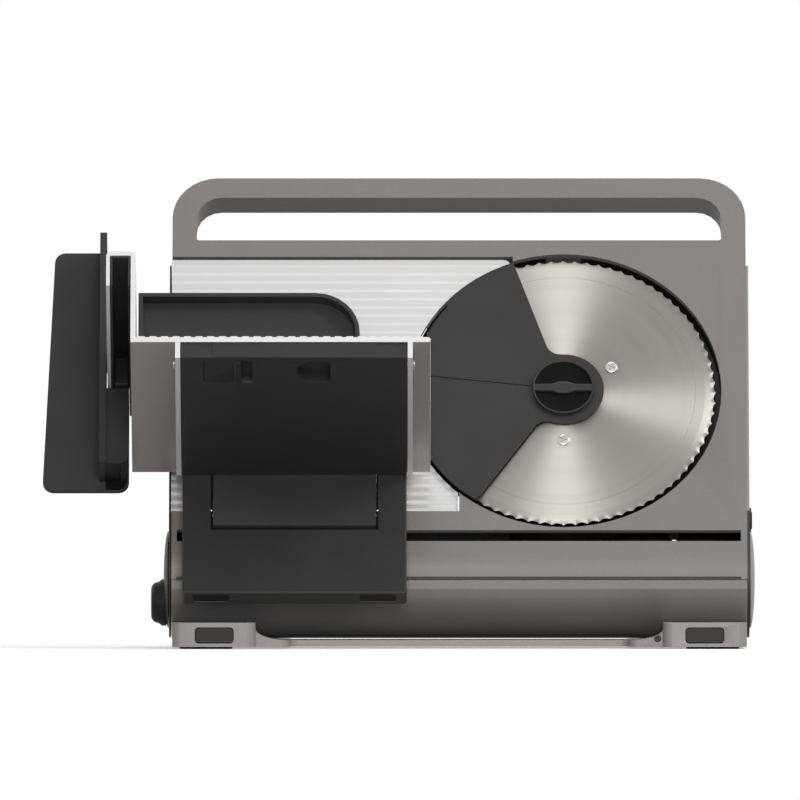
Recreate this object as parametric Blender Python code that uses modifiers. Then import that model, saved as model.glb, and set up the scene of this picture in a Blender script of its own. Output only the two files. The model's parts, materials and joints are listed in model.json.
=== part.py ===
"""Meat slicer with a leaning panel, a serrated blade, a sliding carriage and a remnant holder.

Metres, +Z up. The machine stands on its feet at z = 0, the user is at -Y and +X is to the user's right.
The panel leans back about the drum at its foot, so most pieces are drawn in the panel frame:
x along the machine, t up the panel from the line where it meets the drum, and d out of the panel
towards the user. Local axes of that frame are (x, -d, t).
"""
import math

import bpy
import bmesh
from mathutils import Matrix, Vector

# Clearances and cutting
GAP = 0.0003            # between pieces that touch
RUNNING = 0.0001        # radial clearance of a turning or sliding fit
OVERRUN = 0.002         # a cutter runs past the face it cuts by this much

# Body
LEAN = math.radians(30)
DRUM_RADIUS = 0.0325
DRUM_AXIS_HEIGHT = 0.038
BODY_HALF = 0.160
SHEET = 0.003
BODY_DEPTH = 2 * DRUM_RADIUS
PANEL_TOP = 0.2397
PANEL_DEPTH = 0.0167
PANEL_CORNER = 0.0256
GRIP_LOW = 0.1996
GRIP_HIGH = 0.2271
GRIP_END = 0.0135
GRIP_HALF = BODY_HALF - GRIP_END
GRIP_TOP_CORNER = 0.014
GRIP_LOW_CORNER = 0.0015
POCKET_TOP = 0.192
SHELL_TOP = 0.188
SHELL_SHOULDER_DEPTH = 0.045
SHELL_SHOULDER_DROP = 0.007
SHELL_CORNER = 0.022
SHELL_BACK_TOP = 0.150
SIDE_PLATE = 0.0011
CAP_RADIUS = 0.027
CAP_DOME = 0.0027

# Blade
BLADE_END = 0.1017           # from the blade's axis to the body's right end
BLADE_X = BODY_HALF - BLADE_END
BLADE_T = 0.1028
BLADE_RADIUS = 0.085
BLADE_TEETH = 80
TOOTH_DEPTH = 0.0013
BLADE_SETBACK = 0.0016
BLADE_THICK = 0.0015
BEVEL_WIDTH = 0.006
BLADE_EDGE_THICK = 0.0003
BLADE_BORE = 0.009
RECESS_RADIUS = 0.0878
RECESS_WALL = 0.0015
RECESS_DEPTH = 0.013
LOBE_RADIUS = 0.056
AXLE_RADIUS = 0.005
AXLE_FLANGE_RADIUS = 0.014
AXLE_FRONT = 0.0005
SCREW_CIRCLE = 0.031
SCREW_COUNT = 3
SCREW_FIRST_ANGLE = math.radians(30)
SCREW_HEAD_RADIUS = 0.0035
SCREW_HEAD = 0.0008
SCREW_CROWN_SHARE = 0.7
SCREW_SLOPE_SHARE = 0.2
SCREW_RIM_SHARE = 0.3
SCREW_SHANK = 0.0015
SCREW_HOLE = 0.0018

# Sector cover and its lock knob
COVER_THICK = 0.0015
COVER_EDGE = 0.0862
COVER_SLOT_EDGE = 0.0838
COVER_UPPER_ANGLE = math.radians(109)
COVER_SLOT_ANGLE = math.radians(140)
COVER_LOWER_ANGLE = math.radians(235.4)
COVER_HUB_RADIUS = 0.0223
COVER_NECK_ROUND = 0.0082
LOCK_RADIUS = 0.0172
LOCK_RIM = 0.0014
LOCK_HEIGHT = 0.0025
LOCK_DISH = 0.0016
LOCK_BAR_HALF = 0.0022
LOCK_BOSS_RADIUS = 0.0036
LOCK_SHANK = 0.0045

# Gears
GEAR_MODULE = 0.002
BLADE_GEAR_TEETH = 50
PINION_TEETH = 16
WHEEL_TEETH = 28
GEAR_FACE = 0.007
GEAR_SETBACK = 0.004
TOOTH_ADDENDUM_SHARE = 0.75
TOOTH_DEDENDUM_SHARE = 1.15
TOOTH_TIP_SHARE = 0.10
TOOTH_ROOT_SHARE = 0.26
WHEEL_FACE = 0.006
WHEEL_SHAFT = 0.004
WORM_RADIUS = 0.0068
WORM_CORE = 0.0045
WORM_LENGTH = 0.024
WORM_ROOT_SHARE = 0.2
WORM_TIP_SHARE = 0.07
MOTOR_RADIUS = 0.020
MOTOR_END = 0.012
MOTOR_LENGTH = 0.062
MOTOR_RIGHT = BODY_HALF - MOTOR_END
MOTOR_LEFT = MOTOR_RIGHT - MOTOR_LENGTH
MOTOR_SHAFT = 0.003
MOTOR_BOSS_RADIUS = 0.009
MOTOR_BOSS = 0.003
SADDLE_END = 0.012
SADDLE_LEFT = MOTOR_LEFT + SADDLE_END
SADDLE_RIGHT = MOTOR_RIGHT - SADDLE_END
SADDLE_HALF = 0.015
WORM_REACH = 0.0223
WORM_BEARING_X = BLADE_X - WORM_REACH
BEARING_WIDTH = 0.006
BEARING_HALF = 0.007
BUSH_RADIUS = 0.008
BUSH_LENGTH = 0.007

# Gauge
OPENING_LOW = 0.0253
OPENING_HIGH = 0.189
OPENING_REACH = 0.0583       # from the blade's axis to the opening's right edge
OPENING_TIP = 0.0300
OPENING_RIGHT = BLADE_X - OPENING_REACH
OPENING_TIP_X = OPENING_RIGHT + OPENING_TIP
OPENING_TIP_LOW = 0.150
FLOOR_INSET = 0.002
FLOOR_LEFT = OPENING_TIP_X - FLOOR_INSET
GAUGE_SIDE_GAP = 0.0005
GAUGE_RIGHT_GAP = 0.0004
GAUGE_THICK = 0.0031
GAUGE_SETBACK = 0.0019
GAUGE_RIB_PITCH = 0.00533
GAUGE_RIB = 0.0006
GAUGE_RIB_SHARE = 0.62
GAUGE_SLOPE_SHARE = 1.4
GAUGE_ARC = 0.0873
GAUGE_TIP_CORNER = 0.005
GAUGE_TRAVEL = 0.015
THICKNESS_TURN = math.radians(300)
BRACKET_END = 0.008
BRACKET_WIDTH = 0.020
BRACKET_LEFT = -BODY_HALF + BRACKET_END
BRACKET_RIGHT = BRACKET_LEFT + BRACKET_WIDTH
BRACKET_LOW = 0.040
BRACKET_HIGH = 0.170
BRACKET_THICK = 0.003
ROD_RADIUS = 0.004
ROD_HEIGHTS = (0.062, 0.137)
ROD_FRONT = 0.026
SLEEVE_HALF = 0.007
SLEEVE_END = 0.044
ARM_INSET = 0.0085
ARM_WIDTH = 0.005
ARM_LEFT = BRACKET_LEFT + ARM_INSET
ARM_RIGHT = ARM_LEFT + ARM_WIDTH
ARM_FRONT = 0.018
ARM_BACK = 0.026
RACK_FRONT = 0.018
RACK_BACK = 0.0448
RACK_HEIGHT = 0.004
RACK_TOP_SHARE = 1.2
RACK_LOW_SHARE = 0.3
RACK_TOOTH_SHARE = 0.45
RACK_FOOT_SHARE = 0.2
RACK_TIP_SHARE = 0.08
THICKNESS_DROP = 0.0127
THICKNESS_TEETH = 8
THICKNESS_ROOT_SHARE = 0.95
THICKNESS_TIP_SHARE = 1.22
THICKNESS_TOOTH_SHARES = (0.2, 0.08)
THICKNESS_KNOB_RADIUS = 0.013
THICKNESS_KNOB_REACH = 0.0114
THICKNESS_KNOB_END = BODY_HALF + THICKNESS_KNOB_REACH
THICKNESS_KNOB_ROUND = 0.004
POINTER_LENGTH_SHARE = 0.6
POINTER_HALF = 0.0005
THICKNESS_SHAFT = 0.0022
THICKNESS_BEARING_END = 0.028
THICKNESS_BEARING_X = -BODY_HALF + THICKNESS_BEARING_END
THICKNESS_SHAFT_REST = 0.005
THICKNESS_SHAFT_END = THICKNESS_BEARING_X + THICKNESS_SHAFT_REST

# Bay behind the gauge, where the slices drop
BAY_END = 0.035
BAY_INSET = 0.005
BAY_LEFT = -BODY_HALF + BAY_END
BAY_RIGHT = OPENING_TIP_X - BAY_INSET
BAY_LOW = 0.031
BAY_HIGH = 0.172

# Carriage slot and slide
SLOT_LOW = 0.0061
SLOT_HIGH = 0.0131
SLOT_LEFT_END = 0.003
SLOT_RIGHT_END = 0.0035
SLOT_LEFT = -BODY_HALF + SLOT_LEFT_END
SLOT_RIGHT = BODY_HALF - SLOT_RIGHT_END
SLAB_END = 0.0032
SLAB_WIDTH = 0.1245
SLAB_LEFT = SLOT_LEFT + SLAB_END
SLAB_RIGHT = SLAB_LEFT + SLAB_WIDTH
SLAB_BACK = 0.002
SLAB_THICK = 0.0133
SLAB_LOW = -0.0356
SLAB_HIGH = 0.047
ARM_SIDE = 0.0167
NOTCH_LEFT = SLAB_LEFT + ARM_SIDE
NOTCH_RIGHT = SLAB_RIGHT - ARM_SIDE
NOTCH_LOW = 0.0055
SLAB_ROUND = 0.0012
SHOE_HALF = 0.0080
SHOE_INSET = 0.0003
SHOE_LOW = 0.0005
SHOE_BACK = 0.011
RAIL_RADIUS = 0.002
RAIL_T = 0.0066
RAIL_DEPTH = 0.0070
PAD_LENGTH = 0.020
PAD_INSET = 0.006
PAD_MARGIN_SHARE = 0.2
HINGE_T = 0.017
HINGE_D = 0.009
HINGE_RADIUS = 0.002
HINGE_REACH = 0.012

# Table unit
TABLE_LEFT_SIDE = 0.0281
TABLE_RIGHT_SIDE = 0.0133
TABLE_LEFT = SLAB_LEFT - TABLE_LEFT_SIDE
TABLE_RIGHT = SLAB_RIGHT + TABLE_RIGHT_SIDE
TABLE_UNDER = 0.049
TABLE_PLATE = 0.003
TABLE_RIB = 0.0006
TABLE_RIB_PITCH = 0.0064
TABLE_RIB_WIDTH_SHARE = 0.6
TABLE_BACK = 0.0022
TABLE_LENGTH = 0.1445
WALL_THICK = 0.0028
WALL_TOP = 0.107
CHANNEL_WIDTH = 0.0136
CHANNEL_LEFT = TABLE_LEFT - CHANNEL_WIDTH
CHANNEL_LEG = 0.0020
CHANNEL_DROP = 0.022
WEB_LEFT_SIDE = 0.0034
WEB_RIGHT_SIDE = 0.0034
WEB_LEFT = SLAB_LEFT - WEB_LEFT_SIDE
WEB_RIGHT = SLAB_RIGHT + WEB_RIGHT_SIDE
WEB_THICK = 0.0028
WEB_DROP = 0.010
TABLE_EDGE_ROUND = 0.0016
STRUT_TOP = 0.0487
STRUT_UNDER = 0.0395
STRUT_SHORT = 0.0007          # the deck ends this far behind the table's front edge
STRUT_FRONT = TABLE_BACK + TABLE_LENGTH - STRUT_SHORT
STRUT_BACK = 0.0160
TONGUE_HEEL_TURN = math.radians(80)
TONGUE_HEEL_RISE = 0.0060
TABLE_PIN_INSET = 0.0157
TABLE_PIN_D = TABLE_BACK + TABLE_LENGTH - TABLE_PIN_INSET
TABLE_PIN_DROP = 0.005
TABLE_PIN_RADIUS = 0.0018
TABLE_PIN_REACH = 0.011
TABLE_PIN_HEAD_SHARE = 0.6
TABLE_PIN_BRIM_SHARE = 1.7
LATCH_SIDE = 0.0126
LATCH_LENGTH = 0.0206
LATCH_ROOM = 0.0060
LATCH_WIDTH = 0.0226
LATCH_INSET = 0.0057
LATCH_LEFT = SLAB_LEFT + LATCH_SIDE
LATCH_RIGHT = LATCH_LEFT + LATCH_LENGTH
LATCH_SLOT_RIGHT = LATCH_RIGHT + LATCH_ROOM
LATCH_FRONT = TABLE_BACK + TABLE_LENGTH - LATCH_INSET
LATCH_BACK = LATCH_FRONT - LATCH_WIDTH
LATCH_DEEP = 0.0035
LATCH_PROUD = 0.0008
FINGER_SPACING = 0.0309
FINGER_LENGTH = 0.0183
FINGER_LEFT = LATCH_RIGHT + FINGER_SPACING
FINGER_RIGHT = FINGER_LEFT + FINGER_LENGTH
FINGER_DEEP = 0.0055
FINGER_ROUND_SHARES = (0.45, 0.15)
SLAB_PAD_DEEP = 0.0006

# Remnant holder
LINER_THICK = 0.0012
RUNNER_FRONT = 0.038
FOOD_CLEAR = 0.0004
FOOD_WIDTH = 0.1233
FOOD_LEFT = TABLE_LEFT + WALL_THICK + FOOD_CLEAR
FOOD_RIGHT = FOOD_LEFT + FOOD_WIDTH
FOOD_LOW = 0.0540
FOOD_HIGH = 0.1541
FOOD_CORNER = 0.025
FOOD_BACK = 0.0095
FOOD_SHEET = 0.0025
FOOD_RIM = 0.008
SPIKE_COLUMNS = 4
SPIKE_ROWS = 3
SPIKE_RADIUS = 0.0012
SPIKE_LENGTH = 0.0034
SPIKE_PLATE = 0.001
SPIKE_MARGIN = 0.012
GUARD_SIDE = 0.0016
GUARD_WIDTH = 0.0482
GUARD_SLANT = 0.0066
GUARD_RIGHT = TABLE_LEFT - GUARD_SIDE
GUARD_LEFT = GUARD_RIGHT - GUARD_WIDTH
GUARD_LEFT_TOP = GUARD_LEFT + GUARD_SLANT
GUARD_STEP = 0.083
GUARD_LOW = 0.0305
GUARD_HIGH = 0.1834
GUARD_BACK = 0.0105
GUARD_THICK = 0.003
GUARD_CORNER = 0.006
FIN_THICK = 0.0039
FIN_FRONT = 0.0365
BLOCK_LOW = 0.0361
BLOCK_TOP = WALL_TOP - CHANNEL_DROP - GAP * 2
BLOCK_FRONT = 0.0345
FIN_LOW = BLOCK_LOW
BRIDGE_HEIGHT = 0.015
BRIDGE_DEPTH = 0.010
CHANNEL_ROUND = 0.003

# Base
FOOT_HEIGHT = 0.0012
LEG_TOP = 0.0145
LEG_END = 0.0009
LEG_WIDTH = 0.0461
LEG_OUTER = BODY_HALF - LEG_END
LEG_INNER = LEG_OUTER - LEG_WIDTH
FILLET_RUN = 0.019
FILLET_TOP = 0.0108          # above it the leg's inner side is upright
PLATE_TOP = 0.0048
BASE_FRONT = -0.095
BASE_BACK = 0.088
WINDOW_DEPTH = 0.034
FILLET_SETBACK = 0.009        # from the legs' front to the fillets
SETBACK_ROUND = 0.0008
LEG_CORNER = 0.0045
FOOT_INSET = 0.0041
FOOT_WIDTH = 0.0293
FOOT_RIGHT = LEG_OUTER - FOOT_INSET
FOOT_LEFT = FOOT_RIGHT - FOOT_WIDTH
FOOT_LENGTH = 0.018
FOOT_POCKET = 0.0016
FOOT_MARGIN = 0.010
INSERT_WIDTH = 0.0210
INSERT_HEIGHT = 0.0083
INSERT_END = 0.0233
INSERT_X = LEG_OUTER - INSERT_END
INSERT_DEEP = 0.004
INSERT_CORNER = 0.002
BASE_SCREW_SIDE = 0.0033
BASE_SCREW_X = LEG_INNER - BASE_SCREW_SIDE
BASE_SCREW_Y = BASE_FRONT + FILLET_SETBACK
BASE_SCREW_Z = 0.0058
BASE_SCREW_RADIUS = 0.0017
BASE_SCREW_LENGTH = 0.009

# Switch, gland and rear screws
SWITCH_T = 0.0365
SWITCH_DEPTH = 0.030
SWITCH_RADIUS = 0.0065
SWITCH_BEZEL = 0.0009
BUTTON_RADIUS = 0.0050
BUTTON_PROUD = 0.0014
BUTTON_TRAVEL = 0.0010
SWITCH_BODY = 0.014
SWITCH_BODY_HALF = 0.008
BUTTON_STEM = 0.0020
GLAND_END = 0.040
GLAND_X = BODY_HALF - GLAND_END
GLAND_T = 0.045
GLAND_RADIUS = 0.006
GLAND_LENGTH = 0.007
GLAND_SPIGOT = 0.0042
GLAND_BORE = 0.0030
GLAND_TIP_SHARE = 0.8
REAR_SCREW_RADIUS = 0.0035
REAR_SCREW_HEAD = 0.0016
REAR_SCREW_SHANK = 0.0015
REAR_SCREW_CROWN_SHARE = 0.7
REAR_SCREW_END = 0.012
REAR_SCREW_X = BODY_HALF - REAR_SCREW_END
REAR_SCREW_HEIGHTS = (0.034, 0.130)

# Facets
FINE = 64
ROUND = 32
SMALL = 16

# Directions in which an outline is raised
FACE = Matrix.Rotation(math.radians(90), 4, "X")                          # outline in (x, t), raised along d
SIDE = Matrix(((0, 0, 1, 0), (1, 0, 0, 0), (0, 1, 0, 0), (0, 0, 0, 1)))   # outline in (-d, t), raised along x

# The bounding box of the whole machine sets where its origin lies: below the middle, on the floor
WIDEST_LEFT = GUARD_LEFT
WIDEST_RIGHT = BODY_HALF + GAP + SIDE_PLATE + GAP + CAP_DOME
LINE_Y = -DRUM_RADIUS * math.cos(LEAN)
FRONT_Y = LINE_Y + (TABLE_UNDER - WEB_DROP) * math.sin(LEAN) - (TABLE_BACK + TABLE_LENGTH) * math.cos(LEAN)
BACK_Y = LINE_Y + PANEL_TOP * math.sin(LEAN) + PANEL_DEPTH * math.cos(LEAN)
LINE_Z = DRUM_AXIS_HEIGHT + DRUM_RADIUS * math.sin(LEAN)


def clear_scene():
    for obj in list(bpy.data.objects):
        bpy.data.objects.remove(obj, do_unlink=True)


def make_collection(name):
    group = bpy.data.collections.new(name)
    bpy.context.scene.collection.children.link(group)
    return group


def make_material(name, colour, roughness, metallic):
    mat = bpy.data.materials.new(name)
    mat.use_nodes = True
    shader = mat.node_tree.nodes["Principled BSDF"]
    shader.inputs["Base Color"].default_value = (*colour, 1.0)
    shader.inputs["Roughness"].default_value = roughness
    shader.inputs["Metallic"].default_value = metallic
    mat.diffuse_color = (*colour, 1.0)
    return mat


def at(x, t, d):
    """Place in the panel frame."""
    return Matrix.Translation(Vector((x, -d, t)))


def world(x, y, z):
    """Place in the machine's upright frame."""
    return Matrix.Translation(Vector((x, y, z)))


def empty(name, parent, location, lean=0.0):
    obj = bpy.data.objects.new(name, None)
    PARTS.objects.link(obj)
    obj.parent = parent
    obj.location = location
    obj.rotation_euler = (-lean, 0, 0)
    return obj


def scratch(name, mesh, matrix):
    """A shape that is not a piece yet: it becomes a cutter or joins another shape."""
    obj = bpy.data.objects.new(name, mesh)
    CUTTERS.objects.link(obj)
    obj.matrix_world = matrix
    obj.hide_render = True
    obj.display_type = "WIRE"
    return obj


def from_bmesh(name, bm, matrix):
    mesh = bpy.data.meshes.new(name)
    bm.to_mesh(mesh)
    bm.free()
    return scratch(name, mesh, matrix)


def box(name, x0, x1, low, high, d0, d1):
    """Block between x0 and x1, low and high up the panel, d0 and d1 out of it."""
    bm = bmesh.new()
    bmesh.ops.create_cube(bm, size=1.0)
    bmesh.ops.scale(bm, vec=(x1 - x0, d1 - d0, high - low), verts=bm.verts)
    return from_bmesh(name, bm, at((x0 + x1) / 2, (low + high) / 2, (d0 + d1) / 2))


def cylinder(name, radius, length, matrix, segments=ROUND, top_radius=None):
    """Round bar from the matrix's origin along its +Z."""
    bm = bmesh.new()
    bmesh.ops.create_cone(
        bm, cap_ends=True, segments=segments, radius1=radius,
        radius2=radius if top_radius is None else top_radius, depth=length,
    )
    bmesh.ops.translate(bm, vec=(0, 0, length / 2), verts=bm.verts)
    return from_bmesh(name, bm, matrix)


def to_mesh(obj):
    """Turns a curve, or a mesh with modifiers, into a plain welded mesh at the same place."""
    bpy.context.view_layer.update()
    depsgraph = bpy.context.evaluated_depsgraph_get()
    mesh = bpy.data.meshes.new_from_object(obj.evaluated_get(depsgraph))
    bm = bmesh.new()
    bm.from_mesh(mesh)
    bmesh.ops.remove_doubles(bm, verts=bm.verts, dist=GAP / 100)
    bmesh.ops.recalc_face_normals(bm, faces=bm.faces)
    bm.to_mesh(mesh)
    bm.free()
    made = scratch(obj.name, mesh, obj.matrix_world.copy())
    bpy.data.objects.remove(obj, do_unlink=True)
    return made


def raised(name, loop, depth, matrix):
    """Flat outline raised from the matrix's plane by a depth."""
    bm = bmesh.new()
    low = [bm.verts.new((x, y, 0)) for x, y in loop]
    high = [bm.verts.new((x, y, depth)) for x, y in loop]
    bm.faces.new(low)
    bm.faces.new(high)
    for index in range(len(loop)):
        bm.faces.new((low[index - 1], low[index], high[index], high[index - 1]))
    bmesh.ops.remove_doubles(bm, verts=bm.verts, dist=GAP / 100)
    bmesh.ops.recalc_face_normals(bm, faces=bm.faces)
    return from_bmesh(name, bm, matrix)


def turned(name, profile, matrix, steps=ROUND):
    """Profile of (radius, height) points, down the outer side, turned about the matrix's Z."""
    bm = bmesh.new()
    verts = [bm.verts.new((radius, 0, height)) for radius, height in profile]
    for first, second in zip(verts, verts[1:]):
        bm.edges.new((first, second))
    if profile[0][0] > 0:
        bm.edges.new((verts[-1], verts[0]))
    obj = from_bmesh(name, bm, matrix)
    screw = obj.modifiers.new("Turn", "SCREW")
    screw.axis = "Z"
    screw.angle = math.tau
    screw.steps = steps
    screw.render_steps = steps
    screw.use_merge_vertices = True
    screw.merge_threshold = GAP / 10
    return to_mesh(obj)


def boolean(obj, other, operation):
    change = obj.modifiers.new(operation.title(), "BOOLEAN")
    change.operation = operation
    change.object = other
    change.solver = "EXACT"
    return obj


def cut(obj, *others):
    for other in others:
        boolean(obj, other, "DIFFERENCE")
    return obj


def join(obj, *others):
    for other in others:
        boolean(obj, other, "UNION")
    return obj


def common(obj, other):
    return boolean(obj, other, "INTERSECT")


def soften(obj, width, segments=2, angle=40):
    """Rounds the sharp edges by a width."""
    bevel = obj.modifiers.new("Round", "BEVEL")
    bevel.width = width
    bevel.segments = segments
    bevel.limit_method = "ANGLE"
    bevel.angle_limit = math.radians(angle)
    return obj


def finish(obj, node, parent, mat):
    """Makes a shape a piece of the machine: its origin goes to the parent's, and it moves with it."""
    done = to_mesh(obj)
    bpy.context.view_layer.update()
    place = parent.matrix_world.inverted() @ FRAMES[parent.name] @ done.matrix_world
    done.data.transform(place)
    done.parent = parent
    done.matrix_parent_inverse = Matrix.Identity(4)
    done.matrix_basis = Matrix.Identity(4)
    done.name = node
    done.data.name = node
    done.data.materials.clear()
    done.data.materials.append(mat)
    done.data.shade_smooth()
    done.data.set_sharp_from_angle(angle=math.radians(35))
    CUTTERS.objects.unlink(done)
    PARTS.objects.link(done)
    done.hide_render = False
    done.display_type = "SOLID"
    return done


def arc(centre, radius, start, end, steps):
    """Points on a circle, from one angle to another."""
    points = []
    for index in range(steps + 1):
        angle = start + (end - start) * index / steps
        points.append((centre[0] + radius * math.cos(angle), centre[1] + radius * math.sin(angle)))
    return points


def rounded(points, radii, steps=4):
    """Polygon whose corners are rounded, each by its own radius."""
    result = []
    count = len(points)
    for index, radius in enumerate(radii):
        corner = Vector(points[index])
        before = (Vector(points[index - 1]) - corner).normalized()
        after = (Vector(points[(index + 1) % count]) - corner).normalized()
        if radius <= 0:
            result.append(tuple(corner))
            continue
        half = before.angle(after) / 2
        centre = corner + (before + after).normalized() * (radius / math.sin(half))
        reach = radius / math.tan(half)
        first = corner + before * reach - centre
        turn = first.angle_signed(corner + after * reach - centre)
        for step in range(steps + 1):
            spin = Matrix.Rotation(-turn * step / steps, 2)
            result.append(tuple(centre + spin @ first))
    return result


def rectangle(x0, x1, low, high, radius=0.0, steps=4):
    return rounded([(x0, low), (x1, low), (x1, high), (x0, high)], [radius] * 4, steps)


def gear_loop(teeth, module, phase):
    """Outline of a straight-sided gear with room between the flanks."""
    pitch_radius = teeth * module / 2
    tip = pitch_radius + module * TOOTH_ADDENDUM_SHARE
    root = pitch_radius - module * TOOTH_DEDENDUM_SHARE
    step = math.tau / teeth
    loop = []
    for index in range(teeth):
        middle = phase + index * step
        for radius, share in ((root, -TOOTH_ROOT_SHARE), (tip, -TOOTH_TIP_SHARE),
                              (tip, TOOTH_TIP_SHARE), (root, TOOTH_ROOT_SHARE)):
            angle = middle + share * step
            loop.append((radius * math.cos(angle), radius * math.sin(angle)))
    return loop


def plate(name, loop, d0, d1):
    """Outline in (x, t) between two distances out of the panel."""
    return raised(name, loop, d1 - d0, at(0, 0, d0) @ FACE)


def bar(name, loop, x0, x1):
    """Outline in (depth behind the panel face, t) between two places along the machine."""
    return raised(name, loop, x1 - x0, world(x0, 0, 0) @ SIDE)


def peg(name, radius, x, t, d0, d1, segments=SMALL):
    """Round bar square to the panel."""
    return cylinder(name, radius, d1 - d0, at(x, t, d0) @ FACE, segments)


def shaft(name, radius, x0, x1, t, d, segments=SMALL):
    """Round bar along the machine."""
    return cylinder(name, radius, x1 - x0, at(x0, t, d) @ SIDE, segments)


def seam(back):
    """Height up the panel of the level seam through the drum axis, at a depth behind the panel face."""
    return math.tan(LEAN) * (back - DRUM_RADIUS)


# Places that follow from the sizes
DRUM_CENTRE = (DRUM_RADIUS, 0.0)
SHELL_FRONT = PANEL_DEPTH + GAP
SEAM_TURN = GAP / DRUM_RADIUS
KNOB_T = -THICKNESS_DROP * math.cos(LEAN)
KNOB_D = -DRUM_RADIUS - THICKNESS_DROP * math.sin(LEAN)
PLATE_FACE = BODY_HALF + GAP
CAP_FACE = PLATE_FACE + SIDE_PLATE + GAP
PINION_T = BLADE_T - (BLADE_GEAR_TEETH + PINION_TEETH) * GEAR_MODULE / 2
TABLE_FRONT = TABLE_BACK + TABLE_LENGTH
SLAB_FRONT = SLAB_BACK + SLAB_THICK
BLADE_FRONT = -BLADE_SETBACK
BLADE_BACK = -BLADE_SETBACK - BLADE_THICK
THICKNESS_PITCH = GAUGE_TRAVEL / THICKNESS_TURN
GAUGE_ROOM = GAUGE_SETBACK + GAUGE_THICK + GAUGE_TRAVEL + GAP
FLOOR_BACK = -RECESS_DEPTH - SHEET


def shell_outline(wall, front, drop):
    """Side view of the body behind the panel, inside by a wall thickness."""
    back = BODY_DEPTH - wall
    return rounded(
        [(front, SHELL_TOP - wall), (front, seam(front) + drop), (back, seam(back) + drop),
         (back, SHELL_BACK_TOP), (SHELL_SHOULDER_DEPTH, SHELL_TOP - SHELL_SHOULDER_DROP - wall)],
        [0, 0, 0, SHELL_CORNER - wall, SHELL_CORNER / 2], 5,
    )


def drum_outline(wall, drop):
    """Side view of the lower half of the drum, below the level seam."""
    radius = DRUM_RADIUS - wall
    trim = SEAM_TURN if wall == 0 else 0
    low = arc(DRUM_CENTRE, radius, math.pi + LEAN + trim, math.tau, 18)
    back = DRUM_RADIUS + radius
    if wall == 0:
        return low + [(back, seam(back) + drop)]
    return low + [(back, seam(back) + drop), (low[0][0], low[0][1] + drop)]


def front_panel(parent, mat):
    """Skin with side flanges, a solid handle at the top, the blade's recess and a lip round the drum."""
    half = BODY_HALF
    profile = ([(0, PANEL_TOP)] + arc(DRUM_CENTRE, DRUM_RADIUS, math.pi, math.pi + LEAN - SEAM_TURN, 6)
               + arc(DRUM_CENTRE, DRUM_RADIUS - SHEET, math.pi + LEAN - SEAM_TURN, math.pi, 6)
               + [(PANEL_DEPTH, 0), (PANEL_DEPTH, PANEL_TOP)])
    body = bar("panel", profile, -half - OVERRUN, half + OVERRUN)
    outer = rounded([(-half, -DRUM_RADIUS), (half, -DRUM_RADIUS), (half, PANEL_TOP), (-half, PANEL_TOP)],
                    [0, 0, PANEL_CORNER, PANEL_CORNER], 8)
    grip = rounded([(-GRIP_HALF, GRIP_LOW), (GRIP_HALF, GRIP_LOW), (GRIP_HALF, GRIP_HIGH),
                    (-GRIP_HALF, GRIP_HIGH)],
                   [GRIP_LOW_CORNER, GRIP_LOW_CORNER, GRIP_TOP_CORNER, GRIP_TOP_CORNER], 5)
    common(body, plate("outline", outer, -BODY_DEPTH, OVERRUN))
    back, front = -PANEL_DEPTH - OVERRUN, OVERRUN
    cut(body,
        plate("grip", grip, back, front),
        box("slot", SLOT_LEFT, SLOT_RIGHT, SLOT_LOW, SLOT_HIGH, back, front),
        box("pocket", -half + SHEET, half - SHEET, -GAP, POCKET_TOP, back, -SHEET))
    dish = cylinder("dish", RECESS_RADIUS + RECESS_WALL, RECESS_DEPTH + SHEET / 2,
                    at(BLADE_X, BLADE_T, FLOOR_BACK) @ FACE, FINE)
    cut(dish, box("dish_left", BLADE_X - 2 * RECESS_RADIUS, FLOOR_LEFT, BLADE_T - 2 * RECESS_RADIUS,
                  BLADE_T + 2 * RECESS_RADIUS, FLOOR_BACK - OVERRUN, OVERRUN))
    join(body, to_mesh(dish))
    cut(body,
        peg("recess", RECESS_RADIUS, BLADE_X, BLADE_T, -RECESS_DEPTH, front, FINE),
        box("opening", -half - OVERRUN, OPENING_RIGHT, OPENING_LOW, OPENING_HIGH, back, front),
        box("opening_tip", OPENING_RIGHT - OVERRUN, OPENING_TIP_X, OPENING_TIP_LOW, OPENING_HIGH - GAP / 10,
            back, front))
    join(body, peg("lobe", LOBE_RADIUS, BLADE_X, BLADE_T, FLOOR_BACK + GAP, -RECESS_DEPTH - GAP, FINE))
    cut(body,
        peg("axle_hole", AXLE_RADIUS + GAP, BLADE_X, BLADE_T, FLOOR_BACK - OVERRUN, 0),
        peg("wheel_hole", WHEEL_SHAFT + GAP, BLADE_X, PINION_T, FLOOR_BACK - OVERRUN, 0))
    return finish(body, "front_panel", parent, mat)


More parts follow.
